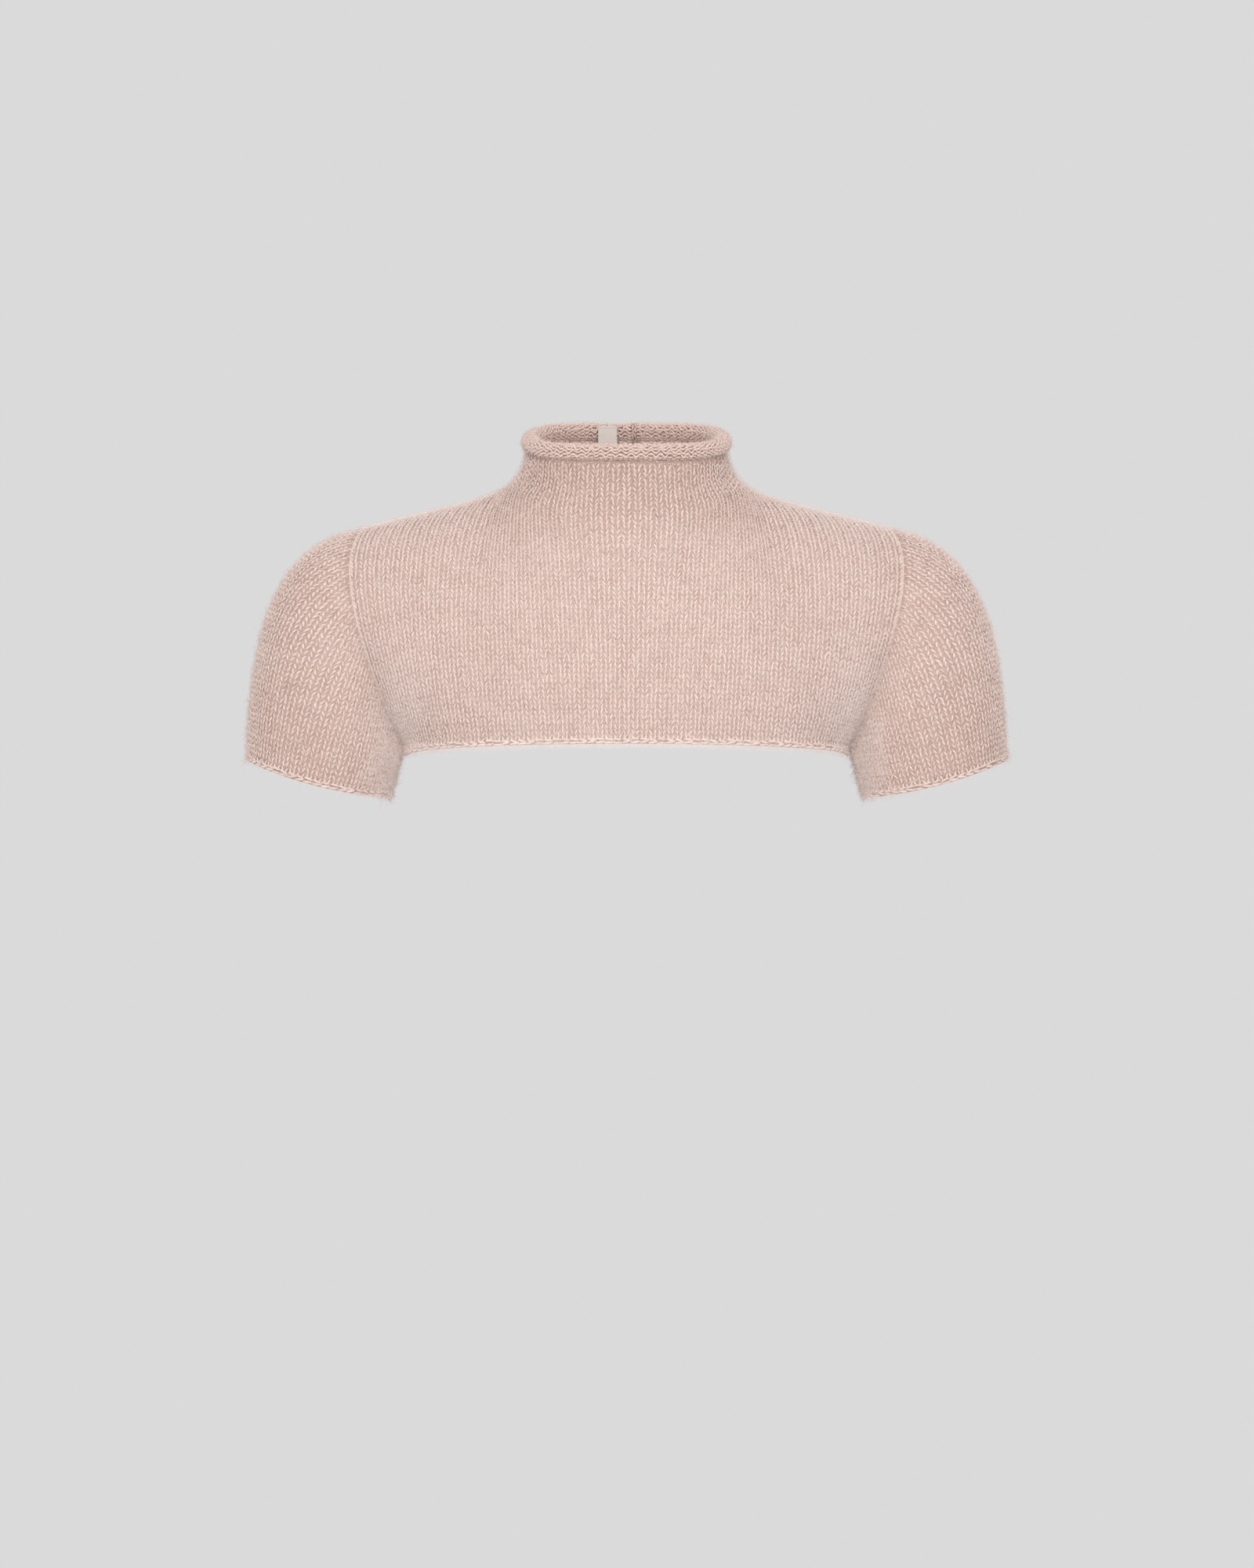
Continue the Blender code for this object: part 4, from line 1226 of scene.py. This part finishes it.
def nap_material(name, width, strength, haze, paleness):
    """Soft halo of loose mohair fibres, clear between them, that fades out by the crest value."""
    def look(nodes):
        given = nodes.group(FIBRES, Width=width, Strength=strength, Haze=haze, Paleness=paleness)
        return given["Color"], None, nodes.math("MULTIPLY", given["Alpha"],
                                                nodes.value_of("crest"))

    return new_material(name, 0.9, look, Sheen_Weight=0.2, Specular_IOR_Level=0.1)


def hair_look(nodes):
    """Pale mohair fibres, a little lighter than the yarn, each with its own tone."""
    share = nodes.math("MULTIPLY_ADD", nodes.value_of("tone"), 0.2, 0.5)
    # Partly painted light: these fibres are paler than the yarn for the light they catch.
    return [nodes.blend(share, rgba(0.88, 0.70, 0.635), rgba(0.985, 0.88, 0.83))]


def thread_look(nodes):
    """Twisted yarn: slanted plies as a wave along its UV map, with bump."""
    ply = nodes.make("TexWave", {"Vector": nodes.yarn_place(), "Scale": 1.2, "Distortion": 1.0,
                                 "Detail": 2.0}, bands_direction="DIAGONAL").outputs["Fac"]
    return nodes.blend(ply, rgba(0.58, 0.38, 0.32), rgba(0.84, 0.66, 0.58)), ply


def tape_look(nodes):
    """Bare satin tape: fine crossing threads as two sine waves, their bump and a slight tone."""
    place = nodes.place()
    warp, weft = (
        nodes.make("TexWave", {"Vector": place, "Scale": scale, "Distortion": distortion},
                   bands_direction=way).outputs["Fac"]
        for scale, distortion, way in ((520.0, 0.6, "X"), (420.0, 0.4, "Z")))
    height = nodes.sum_of((warp, 0.5), (weft, 0.5))
    return nodes.blend(height, rgba(0.62, 0.555, 0.505), rgba(0.75, 0.705, 0.66)), height


def pearl_look(nodes):
    """Pearly button: slow swirls of two pinks."""
    swirl = nodes.noise(nodes.place(), 230.0, 2.0, Distortion=1.6)
    return [nodes.blend(swirl, rgba(0.60, 0.42, 0.37), rgba(0.90, 0.80, 0.75))]


PAINTED_SHADE = painted_shade_group()
YARN = yarn_group()
FIBRES = fibre_group()
# Yarn colours: the deep one is also the painted shade low on the legs, the pale one the painted
# highlight on top.
DEEP = (0.60, 0.41, 0.35)
PALE = (0.965, 0.815, 0.758)
BODY_YARN = yarn_material("body_yarn", DEEP, PALE, -0.11)
SLEEVE_YARN = yarn_material("sleeve_yarn", DEEP, PALE, -0.11)
ROLL_YARN = yarn_material("roll_yarn", DEEP, PALE, -0.33)
# Painted shadow: a dark copy of the yarn for the strands along the slit and the roll's ends, where
# shade falls.
SLIT_SHADOW_YARN = yarn_material("slit_strand_painted_shadow", (0.34, 0.21, 0.17), DEEP, -0.35)
# Painted light: a paler copy of the yarn for the purl rows inside the neck, against the shade in
# the collar.
INNER_YARN_PAINTED_LIGHT = yarn_material("inner_neck_yarn_painted_light", DEEP, PALE, 0.1)
# Painted shade: the cloth between the stitches is coloured deeper than the yarn, for the shade in
# those gaps.
BACKING = backing_material("cloth_between_stitches", (0.44, 0.27, 0.22), (0.66, 0.45, 0.38), False)
INSIDE = backing_material("purl_inside", (0.60, 0.42, 0.36), (0.86, 0.67, 0.60), True)
# Painted shade: the cloth between the purl rows of the roll is deeper still, for the shade between
# them.
HOLES = backing_material("cloth_between_purl_rows", (0.32, 0.17, 0.13), (0.54, 0.34, 0.28), True)
# Partly painted light: the nap further out gets the paler fibres, for the light loose fibres
# scatter.
NAP_DENSE = nap_material("nap_near_the_cloth", 0.038, 0.50, 0.15, 0.20)
NAP_LOOSE = nap_material("nap_further_out", 0.036, 0.30, 0.0, 0.30)
FIBRE = new_material("mohair_fibre", 0.75, hair_look, Sheen_Weight=0.3, Specular_IOR_Level=0.3)
TAPE = new_material("label_tape", 0.55, tape_look, (0.35, 0.0002), Sheen_Weight=0.15,
                    Specular_IOR_Level=0.4)
PEARL = new_material("pearly_button", 0.28, pearl_look, Coat_Weight=0.6, Coat_Roughness=0.08)
THREAD = new_material("twisted_yarn", 0.85, thread_look, (0.4, 0.0003), Sheen_Weight=0.3,
                      Specular_IOR_Level=0.3)


def make_panel(name, rng):
    """Front or back: shell, stitches, cast-off hem, purl rows inside the neck, hair and nap."""
    slot = "knit_body"
    points, keep, uv = panel_grid(name)
    cloth = shell(points, keep, uv).write(f"{name}_cloth", [BACKING, INSIDE], slot, [name])
    charts = panel_charts(name)
    stitches, edge, purl, hairs = (Pile() for _ in range(4))
    for chart in charts.values():
        knit(stitches, chart, rng)
    cast_off(edge, panel_chart(name, -SIDE_WALES, SIDE_WALES, 0), rng)
    for key, chart in charts.items():
        if key.startswith("middle"):
            purl_rows(purl, chart, np.arange(-0.4, 8), -SHELL_INNER - 0.15, rng, side=-1.0,
                      from_top=True)
    for chart in charts.values():
        mohair(hairs, chart, rng)
    extras = [
        stitches.write(f"{name}_stitches", [BODY_YARN], slot),
        edge.write(f"{name}_cast_off_edge", [BODY_YARN], slot),
        purl.write(f"{name}_neck_purl_rows", [INNER_YARN_PAINTED_LIGHT], "knit_roll"),
        hairs.write(f"{name}_mohair", [FIBRE], slot, shadow=False),
        nap(*panel_grid(name, NAP_REACH)).write(f"{name}_nap", [NAP_LOOSE, NAP_DENSE], slot,
                                                shadow=False),
    ]
    if name == "back":
        slit = Pile()
        selvedges(slit, ribbon_chart(*slit_path(90), CHEST_HEART), rng)
        extras.append(slit.write("slit_selvedges", [BODY_YARN, SLIT_SHADOW_YARN], slot))


def make_sleeve(name, side, rng):
    """Sleeve tube: shell, stitches, cast-off cuff, hair and nap.

    The columns are turned round on the left sleeve, so that the cells face outwards.
    """
    slot = "knit_sleeve"
    wales = np.linspace(0, SLEEVE_WALES, int(1.5 * SLEEVE_WALES) + 1)[:-1]
    rows = np.concatenate([np.linspace(-1, 0, 4), np.linspace(0, 1, 31)[1:]])
    uv = together(wales[None, :], rows[:, None] * SLEEVE_CLOTH_ROWS)
    uv = np.concatenate([uv, uv[:, :1] + np.array([SLEEVE_WALES, 0.0])], axis=1)
    way = -1 if side > 0 else 1

    def grid():
        return (sleeve_columns(rows, wales).transpose(1, 0, 2)
                * np.array([side, 1.0, 1.0]))[:, ::way]

    points = grid()
    keep = np.ones((len(rows) - 1, len(wales)), bool)
    cloth = shell(points, keep, uv[:, ::way], True)
    cloth = cloth.write(f"{name}_cloth", [BACKING, INSIDE], slot, [name])
    chart = sleeve_chart(side)
    stitches, edge, hairs = (Pile() for _ in range(3))
    knit(stitches, chart, rng)
    cast_off(edge, chart, rng)
    mohair(hairs, chart, rng)
    for first, last, count in SLEEVE_EXTRA_HAIRS:
        hair(hairs, chart, count, rng, (first, last), EXTRA_HAIR_RADIUS)
    rows[0] = NAP_REACH
    extras = [
        stitches.write(f"{name}_stitches", [SLEEVE_YARN], slot),
        edge.write(f"{name}_cast_off_edge", [SLEEVE_YARN], slot),
        hairs.write(f"{name}_mohair", [FIBRE], slot, shadow=False),
        nap(grid(), keep, uv[:, ::way], True).write(f"{name}_nap", [NAP_LOOSE, NAP_DENSE], slot,
                                                    shadow=False),
    ]


def make_seam_yarn():
    """Yarn that sews each sleeve in: a cord round the armhole, sunk between the edges."""
    loop = armhole_loop(96)
    loop = np.concatenate([loop, loop[:1]])
    out = unit(loop - ARMHOLE_HEART)
    yarn = Pile()
    for side in (1.0, -1.0):
        flip = np.array([side, 1.0, 1.0])
        tubes(yarn, ((loop - SEAM_SINK * out) * flip)[None], (out * flip)[None], SEAM_CORD, 6,
              # Painted shade: the cord's deeper tone stands for the shade in the seam's groove.
              closed=True, tone=SEAM_SHADE_TONE)
    yarn.write("armhole_seam_yarn", [SLEEVE_YARN], "knit_sleeve")


def make_roll(rng):
    """Rolled edge: a spiral strip of cloth with purl rows over it, hair, nap and slit edges.

    Where the label passes, the nap fades evenly by the distance from the label's middle, and
    its innermost cells there are left out.
    """
    slot = "knit_roll"
    strip = roll_spiral(ROLL_STEPS, ROLL_RADIUS - ROLL_CLOTH_IN,
                        2 * math.pi + ROLL_CURL_TURN)[::-2]
    uv = together(2 * np.arange(len(strip))[:, None] / CHART_STEPS,
                  np.linspace(0, 14, ROLL_STEPS)[None, :])
    keep = np.ones((strip.shape[0] - 1, strip.shape[1] - 1), bool)
    cloth = shell(strip, keep, uv, depths=ROLL_SHELL)
    cloth = cloth.write("neck_roll_cloth", [HOLES, INSIDE], slot, ["neck_roll"])
    columns = roll_spiral(97, ROLL_RADIUS - PURL_YARN - 0.1, 2 * math.pi)
    chart = Chart(columns, 0, ROLL_WALES, ROLL_ROW_MM, np.array([0.0, 0.0, ROLL_MID_Z]))
    purl, hairs, ends = (Pile() for _ in range(3))
    purl_rows(purl, chart, np.arange(0.4, chart.ends.min(), 1.0), 0.0, rng)
    mohair(hairs, chart, rng, ROLL_HAIR_SHARE)
    around = roll_spiral(ROLL_STEPS, ROLL_RADIUS, 2 * math.pi)[::-2, :-1]
    middle = 0.5 * (around[1:] + around[:-1])
    label_middle = 0.5 * sum(LABEL_X)
    by_label = (np.abs(middle[..., 0] - label_middle) < LABEL_BARE) & (middle[..., 1] > 0)
    by_label &= middle[..., 1] < ROLL_HALF_DEPTH + 1.0
    fade = np.clip(np.abs(around[..., 0] - label_middle) / LABEL_BARE - 1.0, 0.0, 1.0)
    beyond = (around[..., 1] > ROLL_HALF_DEPTH + 3.0) | (around[..., 1] <= 0)
    fade = np.where(beyond, 1.0, fade)
    halo = shell(around, ~by_label, np.zeros((len(around), ROLL_STEPS, 2)), True, ROLL_NAP,
                 np.tile(fade.ravel(), 2))
    path, across = roll_end_path(73)
    selvedges(ends, ribbon_chart(path, across, path.mean(axis=0)), rng)
    extras = [
        purl.write("neck_roll_purl_rows", [ROLL_YARN], slot),
        hairs.write("neck_roll_mohair", [FIBRE], slot, shadow=False),
        halo.write("neck_roll_nap", [NAP_LOOSE, NAP_LOOSE], slot, shadow=False),
        ends.write("neck_roll_selvedges", [ROLL_YARN, SLIT_SHADOW_YARN], slot),
    ]


def make_label():
    """Bare tape inside the back neck: a thin wall with turned ends, sewn on along its top.

    Its face stands off the cloth by half a sine bow down its length, and by a step near both
    ends where the tape is turned under.  The sewing is a row of short stitches that bow out.
    """
    steps, rows = 17, 49
    half_width, half_depth = ROLL_HALF_WIDTH - ROLL_RADIUS, ROLL_HALF_DEPTH - ROLL_RADIUS
    across, deep = squared_ring(np.linspace(*(ring_turn(x / half_width) for x in LABEL_X), steps))
    x, face = half_width * across, half_depth * deep - SEAM_GAP
    down = np.linspace(0, 1, rows)[:, None]
    hem = 0.5 - 0.5 * np.tanh((np.minimum(down, 1 - down) * LABEL_LENGTH - LABEL_TURN_IN) / 0.5)
    stand = 0.22 + 0.14 * hem + 0.2 * np.sin(math.pi * down)
    z = LABEL_TOP_Z - LABEL_LENGTH * down
    points = np.concatenate([together(x, face - LABEL_FACE - stand, z).reshape(-1, 3),
                             together(x, face - LABEL_BACK, z).reshape(-1, 3)])
    index = np.arange(steps * rows).reshape(rows, steps)
    cells = together(index[:-1, :-1], index[1:, :-1], index[1:, 1:], index[:-1, 1:])
    cells = cells.reshape(-1, 4)
    border = np.concatenate([index[:-1, 0], index[-1, :-1], index[:0:-1, -1], index[0, :0:-1]])
    after, behind = np.roll(border, -1), steps * rows
    rim = together(border, border + behind, after + behind, after)
    tape, sewing = Pile(), Pile()
    tape.add(points, np.concatenate([cells, cells[:, ::-1] + behind, rim]))
    tape = tape.write("label_tape", [TAPE], "label_tape", ["label"])
    place = np.linspace(LABEL_X[0] + TACK_INSET, LABEL_X[1] - TACK_INSET, TACKS)[:, None]
    share = np.linspace(0, 1, 9)
    out = np.interp(place, x, face) - 1.35 + TACK_BOW - TACK_BOW * np.sin(math.pi * share)
    line = together(place - TACK_HALF + 2 * TACK_HALF * share, out, LABEL_TOP_Z - 1.3)
    tubes(sewing, line, np.broadcast_to([0.0, -1.0, 0.0], line.shape), TACK_RADIUS, 5)
    sewing = sewing.write("label_sewing", [TAPE], "label_tape")


def make_button():
    """Button turned from its half section: shank, flat back, round rim and a shallow dish.

    The dish falls by a squared sine towards the middle, eased in by a second sine at its rim.
    """
    seat, out, along = neck_seat(*BUTTON_PLACE)
    disc = BUTTON_LIFT + BUTTON_STAND
    inside, top = BUTTON_RADIUS - BUTTON_RIM, disc + 2 * BUTTON_RIM
    profile = [(BUTTON_SHANK, BUTTON_LIFT), (BUTTON_SHANK, disc - 0.2), (BUTTON_SHANK + 0.3, disc)]
    profile += [(BUTTON_RADIUS - BUTTON_RIM * (1 - math.cos(angle)),
                 disc + BUTTON_RIM * (1 + math.sin(angle)))
                for angle in np.linspace(-0.5 * math.pi, 0.5 * math.pi, 13)]
    profile += [(inside * share, top - BUTTON_DISH * math.sin(0.5 * math.pi * (1 - share)) ** 2
                 * math.sin(0.5 * math.pi * min(1.0, 2 * (1 - share))))
                for share in np.linspace(1, 0, 13)[1:]]
    body = Pile()
    turned(body, profile, seat, out, np.cross(along, out), 64)
    body.write("pearly_button", [PEARL], "button", ["button"])


def make_loop():
    """Loop of two twisted plies from the slit's right edge round the button's shank and back.

    Its path goes straight in, round half a turn and straight out, is spaced evenly and then
    smoothed by repeated means of neighbours.  The plies turn round it at an even rate.
    """
    seat, out, along = neck_seat(*BUTTON_PLACE)
    angle = np.linspace(0.5 * math.pi, 1.5 * math.pi, 13)
    reach = np.linspace(LOOP_REACH, 0, 5)[:-1]
    flat = np.concatenate([together(reach, LOOP_TURN),
                           LOOP_TURN * together(np.cos(angle), np.sin(angle)),
                           together(reach[::-1], -LOOP_TURN)])
    places = [neck_seat(BUTTON_PLACE[0] + x, seat[2] + up * along[2]) for x, up in flat]
    path = np.array([place + (SEAM_GAP + LOOP_RADIUS) * way for place, way, _ in places])
    outs = np.array([way for _, way, _ in places])
    steps = np.concatenate([[0], np.cumsum(np.linalg.norm(np.diff(path, axis=0), axis=1))])
    length = np.linspace(0, steps[-1], 241)
    path, outs = (together(*(np.interp(length, steps, part) for part in value.T))
                  for value in (path, outs))
    for _ in range(12):
        path[1:-1] = 0.25 * path[:-2] + 0.5 * path[1:-1] + 0.25 * path[2:]
    beside = unit(np.cross(np.gradient(path, axis=0), outs))
    phase = (2 * math.pi * length / LOOP_TWIST)[:, None]
    ply = 0.5 * LOOP_RADIUS
    strands = np.stack([path + ply * (np.cos(phase + start) * beside + np.sin(phase + start) * outs)
                        for start in (0.0, math.pi)])
    cord = Pile()
    tubes(cord, strands, np.broadcast_to(outs, strands.shape), 1.1 * ply, 8)
    cord.write("yarn_loop", [THREAD], "yarn_cord", ["button_loop"])


random = np.random.default_rng(SEED)
make_panel("front", random)
make_panel("back", random)
make_sleeve("sleeve_left", 1.0, random)
make_sleeve("sleeve_right", -1.0, random)
make_seam_yarn()
make_roll(random)
make_label()
make_button()
make_loop()


def make_surround():
    """Even pale surround, seen at one brightness and lighting the top at another."""
    world = bpy.data.worlds.new("pale studio")
    bpy.context.scene.world = world
    world.use_nodes = True
    world.node_tree.nodes.clear()
    nodes = Nodes(world.node_tree)
    seen = nodes.make("Background", {"Color": rgba(1.0, 1.0, 1.0), "Strength": BACKGROUND})
    light = nodes.make("Background", {"Color": rgba(1.0, 0.99, 0.98),
                                      "Strength": LIT_FROM_AROUND})
    ray = nodes.make("LightPath").outputs["Is Camera Ray"]
    mixed = nodes.make("MixShader", {0: ray, 1: light.outputs[0], 2: seen.outputs[0]})
    nodes.make("OutputWorld", {"Surface": mixed.outputs[0]})


def make_floor():
    """Plain pale floor: a large disc well below the top, as bright as the surround."""
    sides = 96
    angle = np.arange(sides) * 2 * math.pi / sides
    rim = together(FLOOR_RADIUS * np.cos(angle), FLOOR_RADIUS * np.sin(angle), FLOOR_Z)
    mesh = bpy.data.meshes.new("pale_floor")
    mesh.from_pydata(rim.tolist(), [], [list(range(sides))])
    material = bpy.data.materials.new("pale_floor")
    material.use_nodes = True
    material.node_tree.nodes.clear()
    nodes = Nodes(material.node_tree)
    glow = nodes.make("Emission", {"Color": rgba(1.0, 1.0, 1.0), "Strength": BACKGROUND})
    nodes.make("OutputMaterial", {"Surface": glow.outputs[0]})
    mesh.materials.append(material)
    floor = bpy.data.objects.new("pale_floor", mesh)
    bpy.context.scene.collection.objects.link(floor)


def soft_light(name, place, size, power, colour):
    """Large square light that faces the top from a place in metres."""
    lamp = bpy.data.lights.new(name, "AREA")
    lamp.size, lamp.energy, lamp.color = size, power, colour
    holder = bpy.data.objects.new(name, lamp)
    holder.location = place
    towards = Vector((0.0, 0.0, -0.08)) - holder.location
    holder.rotation_euler = towards.to_track_quat("-Z", "Y").to_euler()
    bpy.context.scene.collection.objects.link(holder)


bpy.context.scene.view_settings.view_transform = "Standard"
make_surround()
make_floor()
soft_light("key", (-0.9, -2.6, 1.5), 2.4, 34.0, (1.0, 0.985, 0.97))
soft_light("fill", (1.5, -2.4, 0.5), 2.4, 16.0, (0.98, 0.99, 1.0))
soft_light("front", (0.0, -3.0, -0.3), 1.6, 19.0, (1.0, 0.985, 0.97))
soft_light("back", (0.3, 2.4, 1.6), 2.4, 30.0, (1.0, 0.99, 0.98))

camera = bpy.data.cameras.new("camera")
camera.sensor_width = SENSOR
camera.lens = SENSOR * CAMERA_AWAY / PICTURE_HEIGHT
eye = bpy.data.objects.new("camera", camera)
eye.location = (CAMERA_X, -CAMERA_AWAY, CAMERA_Z)
eye.rotation_euler = (0.5 * math.pi, 0.0, 0.0)
bpy.context.scene.collection.objects.link(eye)
bpy.context.scene.camera = eye
